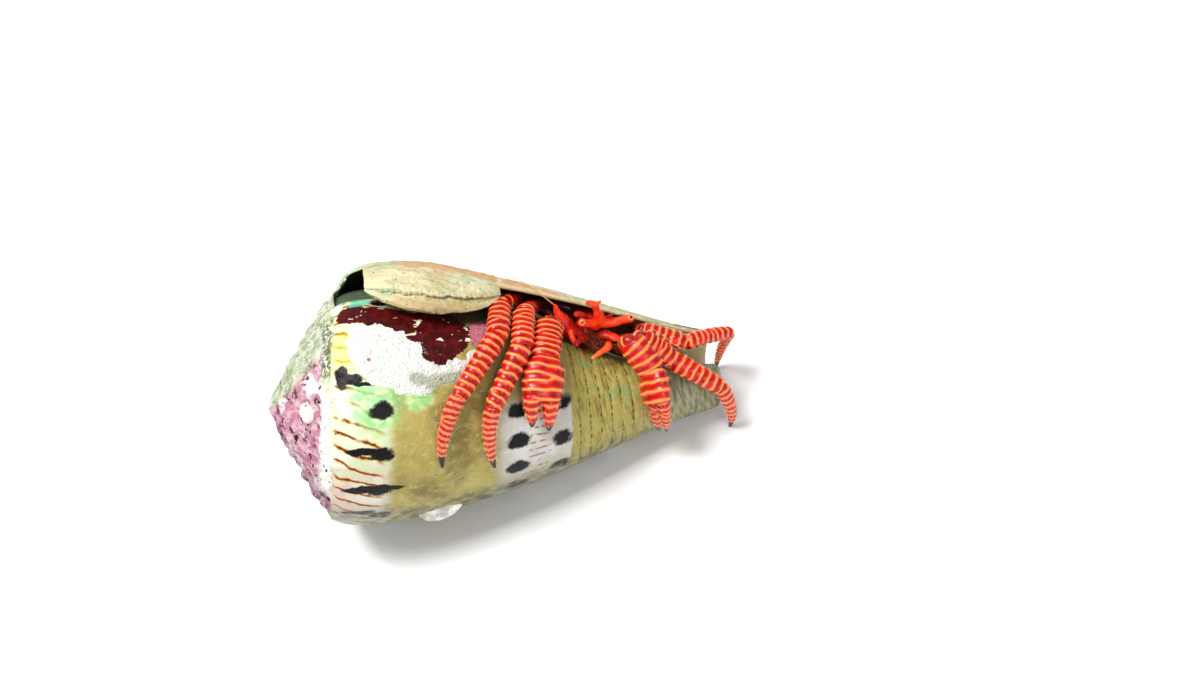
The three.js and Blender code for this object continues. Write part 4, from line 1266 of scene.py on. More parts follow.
# %% Masks with ragged edges
def patch(spots, soft=0.1, raggedness=0.9):
    """The mask of a growth: its soft ovals with a ragged edge."""
    nearest = None
    for a, g, ra, rg in spots:
        d = ((along_mm - a + wave * 1.6) / ra) ** 2 + ((angle_deg - g + coarse * 9) / rg) ** 2
        nearest = d if nearest is None else nearest.least(d)
    return (nearest + fine * raggedness + grain * 0.5).over(1 + soft, 1 - soft)


def rows_of_spots(centre, first, period, half_along, half_round, soft=0.4):
    """Round spots at even steps round the shell."""
    steps = ((angle_deg + coarse * 5 - first) / period).wrap() * period * arc
    d = ((place_mm - centre + wave * 1.3) / half_along) ** 2 + (steps / half_round) ** 2
    return (d + fine * 1.3 + grain * 0.9).over(1 + soft, 1 - soft)


FILM_EDGE, WHITE_EDGE, FRONT_EDGE = (20.5, 21.3), (31.8, 34.4), (43.3, 43.9)  # each belt's soft start
film_edge = place_mm + coarse * 1.2 + fine * 0.8
shoulder_belt = (place_mm + coarse * 3 + fine * 1.6).over(21.4, 19.4)
film_belt = film_edge.over(*FILM_EDGE) * film_edge.under(*WHITE_EDGE)
white_belt = film_edge.over(*WHITE_EDGE) * film_edge.under(*FRONT_EDGE)
front_belt = film_edge.over(*FRONT_EDGE)
narrow_part = (place_mm + coarse * 4).over(53, 60)
print("masks:", len(look.tree.nodes), "nodes")

# %% [markdown]
# Each belt is painted on its own: a base of two tones, then thin coats of clouds, grain and marks. An
# old shell is never one colour, and many weak coats look more like it than one strong pattern. The
# belts are laid together once each of them looks right.

# %% Colour the olive film
film_clouds = look.noise(6, 4, 0.6, shift=1.0)
scratches = look.noise(0.9, 3, 0.6, stretch=(0.3, 1.5, 1.5), shift=41).over(0.56, 0.72)
film = look.paint(
    look.mix(film_clouds.over(0.32, 0.64), (108, 92, 40), (160, 146, 76)),
    ((fine + 0.5).over(0.5, 0.74) * 0.6, (182, 172, 112)),
    (scratches * 0.4, (196, 192, 150)),
    ((grain + 0.5).over(0.58, 0.74) * 0.5, (200, 196, 156)),
    ((grain + 0.5).over(0.42, 0.26) * 0.5, (84, 72, 34)),
)

# %% Colour the white belt
white = look.paint(
    look.mix((coarse + 0.5).over(0.35, 0.7), (172, 168, 156), (204, 201, 192)),
    (look.noise(3, 3, shift=44).over(0.5, 0.68) * 0.5, (186, 184, 196)),
    # darker towards the underside
    ((angle_deg + coarse * 20).over(90, 108) * 0.7, (150, 140, 108)),
    ((angle_deg + coarse * 20).over(60, 42) * 0.95, (140, 128, 72)),
)

# %% Colour the front half with its fine grooves
groove_step = (along_mm - GROOVE_FROM - angle_deg * GROOVE_SLOPE + wave * 0.24) / GROOVE_STEP
dotted = look.noise(0.8, 2, 0.6, stretch=(1, 1, 1), shift=46).over(0.42, 0.56)
groove = groove_step.wrap().over(0.11, 0.02) * (dotted * 0.8 + 0.2)
rill = look.noise(0.5, 2, 0.6, shift=66).over(0.44, 0.54)
twin = (groove_step - 0.26).wrap().over(0.06, 0.015) * dotted * look.noise(3, 2, shift=5).over(0.45, 0.6)
streaks = look.noise(0.8, 3, 0.6, stretch=(1.6, 0.3, 0.3), shift=2)
front = look.paint(
    look.mix(streaks.over(0.3, 0.56), (122, 106, 48), (162, 150, 78)),
    ((fine + 0.5).over(0.54, 0.76) * 0.6, (178, 168, 104)),
    (look.noise(5, 3, shift=8).over(0.54, 0.66) * 0.6, (112, 146, 92)),
    ((grain + 0.5).over(0.4, 0.28) * 0.6, (82, 74, 36)),
    ((groove * rill).over(0.1, 0.6) * 0.85, (58, 46, 20)),
    (twin * rill * 0.5, (86, 72, 34)),
)
tip = look.paint(
    look.mix(streaks.over(0.38, 0.6), (104, 104, 76), (150, 148, 116)),
    ((fine + 0.5).over(0.56, 0.7) * 0.6, (124, 150, 120)),
)
front = look.mix(narrow_part, front, tip)

# %% Colour the shoulder with its thin lines
LINE_PERIOD, LINE_SLANT = 7.2, 1.25  # in degrees, and in degrees for each mm from the shoulder
line_step = (angle_deg - (from_shoulder + wave * 1.5) * LINE_SLANT + coarse * 9) / LINE_PERIOD
line_near = line_step.wrap() * LINE_PERIOD * arc
line_run = look.noise(2.6, 1, shift=11).over(0.34, 0.46) * from_shoulder.over(7.8, 6.0)
line_run = line_run * from_shoulder.over(0.1, 1.0)
yellowed = look.noise(2.6, 2, shift=4).over(0.54, 0.66) * 0.4 * angle_deg.over(76, 56)
shoulder = look.paint(
    look.mix((angle_deg + coarse * 30).over(66, 88), (190, 200, 160), (194, 174, 162)),
    ((coarse + 0.5).over(0.42, 0.62) * 0.75, (210, 212, 198)),
    # darker towards the underside
    ((angle_deg + coarse * 20).over(96, 112) * 0.5, (150, 140, 142)),
    (yellowed, (196, 198, 110)),
    ((grain + 0.5).over(0.6, 0.75) * 0.4, (148, 140, 110)),
    ((line_near + grain * 0.4).over(0.5, 0.16) * line_run * 0.9, (212, 140, 48)),
    ((line_near + grain * 0.3).over(0.27, 0.06) * line_run, (78, 40, 22)),
)

# %% Lay the belts together, and place the dashes and black spots
DASH_PERIOD, DASH_CENTRE = 4.9, 38.6
colour = look.paint(
    look.mix(shoulder_belt, film, shoulder),
    (white_belt, white),
    (front_belt, front),
)

dashes = ((angle_deg + coarse * 2) / DASH_PERIOD).wrap() * DASH_PERIOD * arc
dash_run = (place_mm - DASH_CENTRE).size().over(1.9, 1.2) * look.noise(0.7, 1, shift=6).over(0.42, 0.54)
colour = look.mix((dashes + grain * 0.2).over(0.24, 0.08) * dash_run * 0.85, colour, (140, 88, 40))
spotted_part = angle_deg.over(46, 54)
# Each row of spots: its centre along, first angle, period in degrees, and half sizes in mm.
black = rows_of_spots(35.6, 56.5, 18.7, 1.45, 1.3).most(rows_of_spots(42.0, 54, 26.3, 1.5, 1.4))
black = black * spotted_part
black = black.most(rows_of_spots(19.4, 49.5, 20.2, 1.6, 1.1) * from_shoulder.over(2, 3.5))

# %% [markdown]
# Over the belts come the stains: green algae by the crust, a yellow rim and dark smudges under the
# shoulder. Then the shell is made darker and greyer towards the underside, where it lies near the
# floor. The stains' places are soft ovals, like those of the growths, so they can be moved without
# touching the mesh.

# %% Lay on the stains
GREEN_STAINS = [(15.2, 45, 3.4, 14), (17, 38, 3, 6), (21, 44, 2, 6)]
UPPER_BLOTS = [(10.9, 33, 0.9, 6.5), (12.1, 34.5, 1.7, 3.2), (14, 37.5, 1.6, 1.3)]
LOWER_BLOTS = [(12.9, 68, 2.4, 1.8), (12.6, 89, 2.8, 2.4), (12, 107, 2.4, 2.4), (16, 88.5, 2.5, 1.6)]
green = patch(GREEN_STAINS, 0.7, 0.6) * 0.75
algae = look.mix((fine + 0.5).over(0.4, 0.65), (112, 188, 108), (190, 214, 160))
colour = look.mix(green, colour, algae)

yellow_rim = from_shoulder.over(5, 2.5) * from_shoulder.over(-1, 0.4)
yellow_rim = yellow_rim * angle_deg.over(36, 24) * angle_deg.over(2, 14)
colour = look.mix(yellow_rim * (fine + 0.9).over(0.6, 0.9) * 0.6, colour, (190, 196, 84))
smudge = (from_shoulder + 0.7 + wave * 1.5).size().over(1.3, 0.4)
smudge = smudge * angle_deg.over(38, 26) * angle_deg.over(-14, -6)
colour = look.mix(smudge * (grain + fine + 0.5).over(0.4, 0.56) * 0.85, colour, (40, 40, 36))
specks = look.noise(0.55, 3, 0.7, shift=48).over(0.6, 0.66) * from_shoulder.over(2.2, 0.4)
specks = specks * look.noise(3, 2, shift=9).over(0.42, 0.56)
colour = look.mix(specks, colour, (36, 32, 28))
black = black.most(patch(UPPER_BLOTS, 0.25, 0.5).most(patch(LOWER_BLOTS, 0.3, 0.7)))
spot_colour = look.mix((grain + 0.5).over(0.56, 0.74), (8, 5, 8), (46, 30, 28))
colour = look.mix(black, colour, spot_colour)

# darker and greyer towards the underside, near the floor
lower = (angle_deg.size() + coarse * 22).over(96, 114) * along_mm.over(62, 50)
underside_grey = look.mix(look.noise(1.6, 4, shift=7).over(0.4, 0.62), (58, 58, 40), (140, 140, 112))
colour = look.mix(lower * 0.66, colour, underside_grey)

# %% Colour the shell behind the lip
lip_zone = (angle_deg + coarse * 14).over(-12, -17) * (angle_deg + coarse * 30).over(-150, -80)
streaky = look.noise(4, 4, 0.65, stretch=(0.4, 1.2, 1.2), shift=13)
flaws = look.noise(1.0, 4, 0.7, stretch=(0.5, 1.5, 1.5), shift=52)
lip = look.paint(
    look.mix(streaky.over(0.42, 0.58), (206, 194, 150), (196, 142, 88)),
    ((along_mm + coarse * 6).over(40, 52) * 0.8, (172, 168, 122)),
    ((angle_deg + coarse * 8).over(-22, -17) * 0.6, (214, 206, 168)),
    ((fine + 0.5).over(0.52, 0.74) * 0.55, (226, 216, 184)),
    (look.noise(4, 3, shift=15).over(0.54, 0.66) * 0.5, (134, 156, 112)),
    (flaws.over(0.58, 0.7) * 0.55, (112, 92, 66)),
    ((along_mm + coarse * 3).over(17.5, 13.5) * 0.85, (176, 194, 160)),
)
colour = look.mix(lip_zone, colour, lip)

# %% [markdown]
# The crusts use the same ovals as the relief in the mesh, so their colour ends where their edge stands
# out. The red one has pale flecks and a pale rim where it has lifted. On the far side, where no oval
# is placed, clouds of noise stand in for them.

# %% Lay on the crusts
WORN_CHALK = [(25.5, 38, 3.6, 5), (21.5, 36, 1.4, 3)]
TURQUOISE_SPOTS, PALE_SPOTS = [(14.2, -11.5, 1.5, 3.5)], [(11.2, -13.5, 0.9, 3)]
white_mask, red_mask = patch(WHITE_CRUST, 0.06, 1.5), patch(RED_CRUST, 0.04, 1.1)
purple_mask = patch(PURPLE_CRUST, 0.1, 0.3)
chalk = look.paint(
    look.mix((fine + 0.5).over(0.58, 0.75) * 0.5, (211, 213, 207), (166, 168, 148)),
    ((grain + 0.5).over(0.58, 0.72) * 0.4, (150, 148, 122)),
    (patch(WORN_CHALK, 0.6, 2.2) * 0.7, (134, 140, 106)),
    (look.cells(3.2).over(0.12, 0.07) * 0.8, (150, 60, 50)),
)
flecks = look.noise(1.3, 3, 0.6, stretch=(0.5, 1.2, 1.2), shift=17).over(0.6, 0.63) * angle_deg.over(26, 16)
maroon = look.paint(
    look.mix((fine + 0.5).over(0.4, 0.76), (54, 5, 7), (96, 15, 13)),
    (flecks, (218, 208, 178)),
)
red_edge = (red_mask * 2 - 1).size().over(0.9, 0.3)
away_from_mouth = 1 - (angle_deg + coarse * 10).over(-30, -16) * (angle_deg + coarse * 10).over(140, 120)
far_white = look.noise(9, 4, 0.6, shift=21).over(0.57, 0.6) * away_from_mouth
far_red = look.noise(8, 4, 0.6, shift=24).over(0.61, 0.63) * away_from_mouth
colour = look.mix(white_mask.most(far_white * 0.9), colour, chalk)
purple = look.mix((grain + 0.5).over(0.4, 0.6), (150, 76, 92), (178, 112, 122))
colour = look.paint(
    colour,
    (purple_mask, purple),
    (red_mask.most(far_red), maroon),
    (red_edge * 0.3, (216, 200, 176)),
    (patch(TURQUOISE_SPOTS, 0.3, 0.6) * 0.85, (98, 178, 150)),
    (patch(PALE_SPOTS, 0.3, 0.6) * 0.9, (232, 236, 232)),
)

# %% [markdown]
# The spire is worn down to chalk and overgrown: mauve and pitted low in front, mossy grey-green
# above, with a bare pale rim where the roof meets the shoulder.

# %% Colour the spire
PALE_PATCH = [(5.6, 50, 1.0, 8)]
wear = angle_deg.over(46, 30) * angle_deg.over(-14, -4) * 1.3
roof_mask = (from_shoulder + wear + fine * 0.8).over(0.25, -0.35)
mauve = look.paint(
    look.mix(look.noise(1.6, 4, 0.65, shift=30).over(0.4, 0.6), (204, 164, 174), (174, 112, 134)),
    (look.noise(4.5, 3, 0.6, shift=54).over(0.52, 0.6), (222, 210, 208)),
    # darker towards the underside
    ((angle_deg + coarse * 30).over(88, 112) * 0.5, (116, 76, 96)),
    (look.noise(2.2, 4, 0.6, shift=31).over(0.56, 0.63), (98, 50, 72)),
    (look.noise(1.3, 3, 0.6, shift=64).over(0.6, 0.66), (40, 18, 30)),
)
moss = look.paint(
    look.mix(look.noise(1.6, 4, 0.6, shift=56).over(0.36, 0.58), (142, 158, 122), (196, 200, 178)),
    (look.noise(0.8, 3, 0.7, shift=58).over(0.6, 0.68), (84, 88, 66)),
    (look.noise(3, 3, shift=60).over(0.56, 0.64) * 0.7, (204, 164, 168)),
)
mauve_part = (angle_deg + from_shoulder * 2.4 + coarse * 30).over(16, 4) * angle_deg.size().over(150, 120)
roof = look.mix(mauve_part, mauve, moss)
ragged = from_shoulder + coarse * 2.4 + fine * 2.2
rim = ragged.over(-1.7, -1.2) * (angle_deg + coarse * 16).over(34, 42)
rim = rim * (angle_deg + coarse * 16).over(108, 92)
rim = rim.most(patch(PALE_PATCH, 0.2, 1.4))
roof = look.mix(rim * (fine * 1.6 + 0.8).over(0.3, 0.5), roof, (222, 222, 216))
colour = look.mix(roof_mask, colour, roof)
pits = look.noise(0.9, 2, 0.5, shift=62).over(0.66, 0.7) * roof_mask
colour = look.mix(pits, colour, (44, 22, 30))

# %% Shade the edge of the mouth, and finish the outside
mouth_edge = along_mm.over(17, 28) * 15 - 10.5
shade = (angle_deg - mouth_edge + wave * 4).over(2.2, -1.2) * angle_deg.over(-14.6, -13.6)
shade = shade * along_mm.over(16, 18) * along_mm.over(56, 46)
colour = look.mix(shade * 0.9, colour, (34, 16, 12))

crusty = white_mask.most(roof_mask).most(far_white)
gloss = 0.3 + crusty * 0.42 + lip_zone * 0.22 + shade * 0.5 + (coarse + 0.5) * 0.14
height = fine * 0.4 + grain * 0.35 + crusty * (fine + grain * 1.6) * 1.1 - groove * front_belt * 0.35
height = height + red_mask * 0.3 + streaks * front_belt * 0.4 + scratches * film_belt * 0.25
coat = 0.1 - (crusty.most(red_mask).most(lip_zone).most(black)) * 0.1
gloss = gloss.least(0.9)
look.finish(colour, gloss, height, 0.00024, Specular_IOR_Level=0.15, Coat_Weight=coat, Coat_Roughness=0.25)

# %% [markdown]
# Inside the mouth the shell is smooth like a cup, pale at the rim and dark brown where the light does
# not reach. On the real shell that dark is shadow and stain together, so the colour deepens a little
# with the distance from the rim.

# %% Colour the inside of the shell
look = Look(inside_look)
along_in = look.along(ALONG_AXIS)
deep, rim_in = look.mark("deep"), look.mark("rim")
cloud = look.noise(2.2, 4) - 0.5
pale = look.mix((cloud + 0.5).over(0.4, 0.65), (190, 178, 132), (222, 204, 166))
dark = look.mix(look.noise(4, 3, shift=2).over(0.4, 0.6), (112, 86, 48), (158, 130, 82))
deep_edge = 1.5 + along_in.over(56, 63) * 200
colour = look.mix((deep + cloud * 4 - deep_edge).over(-2, 5), pale, dark)
# painted light and own colour: the hollow's floor by the head is pale pink shell, painted pale only where
# light reaches it, against the painted shade deeper in
lit_floor = look.mark("floor") * (along_in + cloud * 3).over(36, 39) * (along_in + cloud * 3).over(48, 45)
colour = look.mix(lit_floor * (deep + cloud * 8).over(26, 16), colour, (226, 192, 174))
threads = look.noise(0.8, 2, 0.6, stretch=(0.3, 1.6, 1.6), shift=4).over(0.6, 0.68)
# painted shade: the notch's inside is painted dark grey-green for the shadow in it; the pale threads are its
# own colour
notch = look.mix(threads * 0.6, (70, 84, 62), (168, 180, 158))
colour = look.mix((along_in + cloud * 2).over(17.5, 15.5), colour, notch)
edge = look.mix((along_in + cloud * 4).over(17, 22), (178, 196, 158), (204, 188, 138))
colour = look.mix(rim_in.over(0.3, 0.7), colour, edge)
look.finish(colour, 0.5, look.noise(0.8, 3), 0.00008, Specular_IOR_Level=0.3)

# %% [markdown]
# The plate on the lip is dull and chalky, with fine wrinkles that run the way it grew, a brown margin
# and small dark bore holes. The flake is bare ash-white crust, with darker scars.

# %% Colour the plate on the lip and the flake
look = Look("layered_plate")
along_p = look.along(ALONG_AXIS)
bands = look.noise(5, 4, 0.55, stretch=(0.3, 1.6, 1.6))
colour = look.paint(
    look.mix(bands.over(0.38, 0.62), (176, 166, 122), (200, 194, 158)),
    (look.noise(4, 3, shift=2).over(0.5, 0.62) * 0.55, (142, 174, 136)),
    (look.noise(3.2, 3, shift=4).over(0.58, 0.68) * 0.4, (200, 156, 132)),
)
angle_p = look.along(FRONT_AXIS).math("ARCTAN2", look.along(UP_AXIS)) * (180 / math.pi)
rusty = (angle_p + (bands - 0.5) * 30).over(-12, -22) * along_p.over(19, 22) * 0.7
margin = angle_p + (bands - 0.5) * 6
wrinkles = look.noise(1.2, 4, 0.65, stretch=(0.5, 1.5, 1.5), shift=6)
colour = look.paint(
    colour,
    (rusty, (196, 148, 98)),
    # the lower layer is tan and darker: partly its own colour, partly painted shade under the upper layer;
    # then a brown line at its margin
    (margin.over(-2.5, 0) * 0.6, (160, 134, 84)),
    (margin.over(2.5, 5) * 0.6, (112, 84, 46)),
    (wrinkles.over(0.56, 0.68) * 0.7, (138, 108, 58)),
    (look.cells(1.3).over(0.13, 0.06) * 0.9, (70, 50, 34)),
)
ridged = look.noise(0.9, 4, 0.6, stretch=(0.4, 1.8, 1.8), shift=8)
plate_look = look.finish(colour, 0.62, ridged * 0.8 + bands, 0.0003)

look = Look("shell_flake")
ash = look.noise(2.0, 4) - 0.5
colour = look.paint(
    look.mix((ash + 0.5).over(0.38, 0.62), (164, 158, 146), (226, 224, 216)),
    (look.noise(0.7, 3, shift=3).over(0.6, 0.7) * 0.7, (96, 92, 72)),
)
flake_look = look.finish(colour, 0.6, ash, 0.0002, Specular_IOR_Level=0.3)

# %% [markdown]
# ## The limbs' colours
# Crimson between the rings and warm orange on them, paler along the ridge. The last tube is coral pink
# with short red dashes that stop before its edges, and its claw is black horn. The soft skin in the
# joints is pinkish orange. A thin clear coat gives the wet shine of a living crab.

# %% Colour the limbs
CLAW_HORN = (16, 12, 12)
look = Look("ringed_limb")
ring, claw_mark = look.mark("ring"), look.mark("claw")
grit = look.noise(0.4, 3) - 0.5
cloud = look.noise(1.6, 3) - 0.5
on_ring = (ring + grit * 0.5 + cloud * 0.3).over(0.2, 0.5)
crimson = look.paint(
    look.mix((cloud + 0.5).over(0.35, 0.65), (150, 6, 4), (214, 18, 8)),
    # painted shade: the crimson darkens in the lowest part of each trough between the rings
    ((ring + grit * 0.3).over(-0.5, -0.95) * 0.45, (92, 2, 2)),
)
orange = look.mix((ring + grit * 0.4).over(0.4, 0.9), (226, 70, 26), (244, 134, 66))
colour = look.mix(on_ring, crimson, orange)
joint_skin = look.mix((grit + 0.5).over(0.4, 0.6), (116, 12, 8), (172, 40, 24))
colour = look.paint(
    colour,
    # painted shade: corners marked below -1.02, the walking legs' meri deep in the hollow, are painted dark
    # maroon
    (ring.over(-1.02, -1.2), (52, 8, 8)),
    (ring.over(-1.4, -1.7), joint_skin),
    (claw_mark, CLAW_HORN),
)
gloss = 0.24 + on_ring * 0.16 + (grit + 0.5) * 0.1
wet = {"Specular_IOR_Level": 0.3, "Coat_Weight": 0.2, "Coat_Roughness": 0.1}
limb_look = look.finish(colour, gloss, grit + on_ring * 0.3, 0.00005, **wet)

look = Look("coral_dactyl")
ring, reach, side_mark, claw_mark = (look.mark(m) for m in LIMB_MARKS)
grit = look.noise(0.4, 3) - 0.5
cloud = look.noise(1.4, 3) - 0.5
dash = (ring + grit * 0.6).over(0.15, -0.3) * (side_mark + cloud * 0.6).over(0.25, 0.65)
dash = dash.most((ring + grit * 0.5).over(0.2, -0.2) * reach.over(0.34, 0.12))
colour = look.paint(
    look.mix((ring + grit * 0.4).over(-0.2, 0.7), (218, 58, 34), (240, 118, 68)),
    (dash, (160, 10, 8)),
    (claw_mark, CLAW_HORN),
)
gloss = 0.3 + (grit + 0.5) * 0.12
wet = {"Specular_IOR_Level": 0.3, "Coat_Weight": 0.15, "Coat_Roughness": 0.12}
dactyl_look = look.finish(colour, gloss, grit + ring * 0.3, 0.00005, **wet)

# %% [markdown]
# The face is a clear orange red with a faint bloom, and the shield and the right palp are a darker
# red, so that they stay behind it. The feelers fade from orange to straw in fine bands. The eye is smooth and
# wet, with a dark spot in a pale ring, and the soft body shows its veins.

# %% Colour the face
look = Look("orange_face")
blush = look.noise(1.3, 3) - 0.5
grit = look.noise(0.3, 3) - 0.5
colour = look.paint(
    look.mix((blush + 0.5).over(0.36, 0.66), (232, 36, 10), (255, 76, 26)),
    ((grit + 0.5).over(0.62, 0.78) * 0.4, (255, 112, 60)),
)
gloss = 0.34 + (grit + 0.5) * 0.12
wet = {"Specular_IOR_Level": 0.3, "Coat_Weight": 0.12, "Coat_Roughness": 0.2}
face_look = look.finish(colour, gloss, grit + blush, 0.00006, **wet)

look = Look("dark_red_face")
blush = look.noise(1.0, 4) - 0.5
grit = look.noise(0.3, 3) - 0.5
colour = look.paint(
    look.mix((blush + 0.5).over(0.4, 0.66), (124, 16, 8), (204, 30, 12)),
    ((grit + 0.5).over(0.64, 0.8) * 0.5, (214, 70, 40)),
)
dark_face_look = look.finish(colour, 0.45, grit + blush, 0.0001, Specular_IOR_Level=0.3)

look = Look("palp_orange")
reach = look.mark("reach")
grit = look.noise(0.35, 3) - 0.5
colour = look.paint(
    look.mix(reach.over(0.25, 0.5), (178, 30, 22), (250, 84, 34)),
    (reach.over(0.8, 1) * 0.6, (236, 150, 84)),
)
palp_look = look.finish(colour, 0.32, grit, 0.00006, Coat_Weight=0.3, Coat_Roughness=0.15)

look = Look("antenna_base_red")
reach = look.mark("reach")
grit = look.noise(0.5, 3) - 0.5
colour = look.mix((reach + grit * 0.6).over(0.3, 0.85), (160, 18, 8), (228, 48, 20))
base_look = look.finish(colour, 0.4, grit, 0.0001, Specular_IOR_Level=0.3)

look = Look("pale_feeler")
reach = look.mark("reach")
bands = (reach * 120).sin()
colour = look.paint(
    look.mix(reach.over(0, 0.25), (226, 96, 50), (204, 176, 120)),
    (bands.over(0.2, 0.9) * 0.5, (150, 110, 70)),
)
feeler_look = look.finish(colour, 0.35, bands, 0.00002)

# %% Colour the eyes, the soft body and the hairs
look = Look("eye_cornea")
spot = look.mark("spot")
tint = look.noise(0.25, 2) - 0.5
colour = look.paint(
    look.mix((spot + tint * 0.1).over(0.55, 1.0), (246, 112, 50), (236, 60, 22)),
    ((spot + tint * 0.06).over(0.46, 0.34), (226, 84, 36)),
    (spot.over(0.34, 0.26), (24, 5, 4)),
)
wet = {"Specular_IOR_Level": 0.3, "Coat_Weight": 0.35, "Coat_Roughness": 0.03}
eye_look = look.finish(colour, 0.14, tint, 0.00001, **wet)

look = Look("soft_skin")
reach = look.mark("reach")
vein = look.noise(1.4, 4, 0.6) - 0.5
grit = look.noise(0.4, 3) - 0.5
front_part = (reach + vein * 0.03).over(0.125, 0.09)
colour = look.mix((vein + 0.5).over(0.4, 0.62), (196, 118, 84), (226, 156, 116))
mouth = look.mix((vein + 0.5).over(0.4, 0.62), (92, 26, 14), (170, 40, 20))
colour = look.mix(front_part, colour, mouth)
gloss = 0.36 + (grit + 0.5) * 0.2
soft_look = look.finish(colour, gloss, vein + grit, 0.00012, Coat_Weight=0.25, Coat_Roughness=0.2)

look = Look("seta")
tint = look.noise(1.0, 2)
colour = look.mix(tint.over(0.35, 0.65), (240, 190, 130), (250, 226, 190))
seta_look = look.finish(colour, 0.45, tint, 0.00001)

look = Look("mouth_seta")
tint = look.noise(0.8, 2)
colour = look.mix(tint.over(0.38, 0.62), (88, 34, 18), (176, 62, 34))
mouth_seta_look = look.finish(colour, 0.5, tint, 0.00001)

# %% [markdown]
# Each piece now takes its look. The last tube of a walking leg shares its mesh with the rest of the
# leg, so its faces are picked out by the numbers of their corners: every tube was swept after the
# one before it.

# %% Give every piece its look
REAR_LEGS = ("_4", "_5")
LOOKS = {
    "lip_layers": plate_look, "shell_flake": flake_look, "skin_shield": dark_face_look,
    "skin_soft_body": soft_look, "skin_eye_right": eye_look, "skin_eye_left": eye_look,
    "skin_feeler_right": feeler_look, "skin_feeler_left": feeler_look,
    "skin_maxilliped_right": dark_face_look, "skin_maxilliped_left": palp_look,
    "skin_antenna_base_right": base_look, "skin_antenna_base_left": base_look,
}
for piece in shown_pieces():
    name = piece.name
    if name == "worn_shell":
        continue
    if name.endswith(REAR_LEGS):
        piece.data.materials.append(soft_look)
    elif name.startswith("skin_leg_"):
        piece.data.materials.append(limb_look)
        piece.data.materials.append(dactyl_look)
        low, high = dactyl_corners[name]
        for face in piece.data.polygons:
            face.material_index = int(all(low <= v < high for v in face.vertices))
    elif name.startswith("skin_claw"):
        piece.data.materials.append(limb_look)
    else:
        piece.data.materials.append(LOOKS.get(name, face_look))

# %% [markdown]
# ## The fine hairs
# Short stiff hairs, the setae, fringe each ring and stand out along the claws and the last tubes. Each
# one is a thin three-sided cone rooted in the limb's skin and leaning toward the tip. Their number is
# what makes the pale edge against the dark, so they are small and many. Their map OFBake gives each
# hair the patch of the limb's skin that it stands on.

# %% The planting helper
SETA_ROOTED = 0.42  # the share of its length from a seta's root to the middle of its cone
SETA_TAPER = 0.15
BAKE_PATCH = 0.003


def coat_bmesh():
    """An empty bmesh with the map that the hairs are baked by."""
    bm = bmesh.new()
    bm.loops.layers.uv.new("OFBake")
    return bm


def plant(bm, here, normal, ahead, length, radius, uv, drawn):
    """One seta, leaning ahead, with its bake patch on the skin's unwrap."""
    lean = (normal * drawn.uniform(0.5, 0.8) + ahead * drawn.uniform(0.6, 1.0)).normalized()
    turn = lean.to_track_quat("Z", "Y").to_matrix().to_4x4()
    move = Matrix.Translation(here + lean * length * MM * SETA_ROOTED) @ turn
    cone = bmesh.ops.create_cone(
        bm, cap_ends=True, cap_tris=True, segments=3, radius1=radius * MM, radius2=radius * MM * SETA_TAPER,
        depth=length * MM, matrix=move)["verts"]
    layer = bm.loops.layers.uv["OFBake"]
    for face in {f for v in cone for f in v.link_faces}:
        for i, loop in enumerate(face.loops):
            corner_way = (0, 0) if i == 0 else ((BAKE_PATCH, 0) if i == 1 else (0, BAKE_PATCH))
            loop[layer].uv = (uv[0] + corner_way[0], uv[1] + corner_way[1])

# %% [markdown]
# A fringe of longer brown hairs hangs round the mouth and hides where the limbs leave the body. It is
# planted along the front of the soft body, thickest in the middle.

# %% Plant the fringe at the mouth
FRINGE_TRIES, FRINGE_MIDDLE, FRINGE_SPREAD = 420, 48.0, 1.7
FRINGE_ALONG, FRINGE_ANGLES = (44.5, 51.6), (-10, 7)
FRINGE_RADII, FRINGE_LENGTHS, FRINGE_HAIR = (9.4, 7.8), (0.9, 2.0), 0.05
drawn = random.Random("mouth")
bm = coat_bmesh()
for _ in range(FRINGE_TRIES):
    along, angle = drawn.gauss(FRINGE_MIDDLE, FRINGE_SPREAD), drawn.uniform(*FRINGE_ANGLES)
    if not FRINGE_ALONG[0] < along < FRINGE_ALONG[1]:
        continue
    down = smooth(angle, *FRINGE_ANGLES)
    here = at(along, angle, lerp(*FRINGE_RADII, down) + drawn.uniform(-0.3, 0.3))
    ahead = (at(along + drawn.uniform(-1, 1), angle + 12, 8) - here).normalized()
    uv = (0.01 + 0.9 * smooth(along, 44, 52), 0.01 + 0.9 * down)
    plant(bm, here, outward(here), ahead, drawn.uniform(*FRINGE_LENGTHS), FRINGE_HAIR, uv, drawn)
new_piece("coat_mouth", bm, ()).data.materials.append(mouth_seta_look)

# %% Plant the setae on the limbs
SETA_SHARE = 0.12
SETA_LENGTH, SETA_RADIUS = 0.42, 0.028
SETA_ROOM = 0.6 * MM  # no seta grows this near to the floor or to the side of the solids' box
LAST_TUBE = 3
planted = 0
for name, places in roots.items():
    drawn = random.Random(name)
    bm = coat_bmesh()
    for here, normal, ahead, tile, round_share, t, marks in places:
        edge = 1 - abs(marks["side"])
        tip_part = marks["claw"] > 0.3 or name.endswith(("finger", "hand")) or tile == LAST_TUBE
        if drawn.random() > SETA_SHARE * (0.5 + 0.9 * edge + 0.6 * tip_part):
            continue
        if here.z < SETA_ROOM or here.x > cad_high[0] - SETA_ROOM:
            continue
        long = SETA_LENGTH * drawn.uniform(0.6, 1.25) * (1.25 if tip_part else 0.8)
        uv = (0.24 * tile + 0.01 + 0.22 * round_share, 0.01 + 0.96 * t)
        plant(bm, here, normal, ahead, long, SETA_RADIUS * drawn.uniform(0.7, 1.1), uv, drawn)
        planted += 1
    new_piece("coat_" + name, bm, ()).data.materials.append(seta_look)
print("setae:", planted)

# %% [markdown]
# ## Floor, light and camera
# A plain pale floor and soft light show the model without a setting. One wide lamp stands high to the
# left and gives the soft shadows, a weaker one fills the front, and the pale surroundings do the rest.

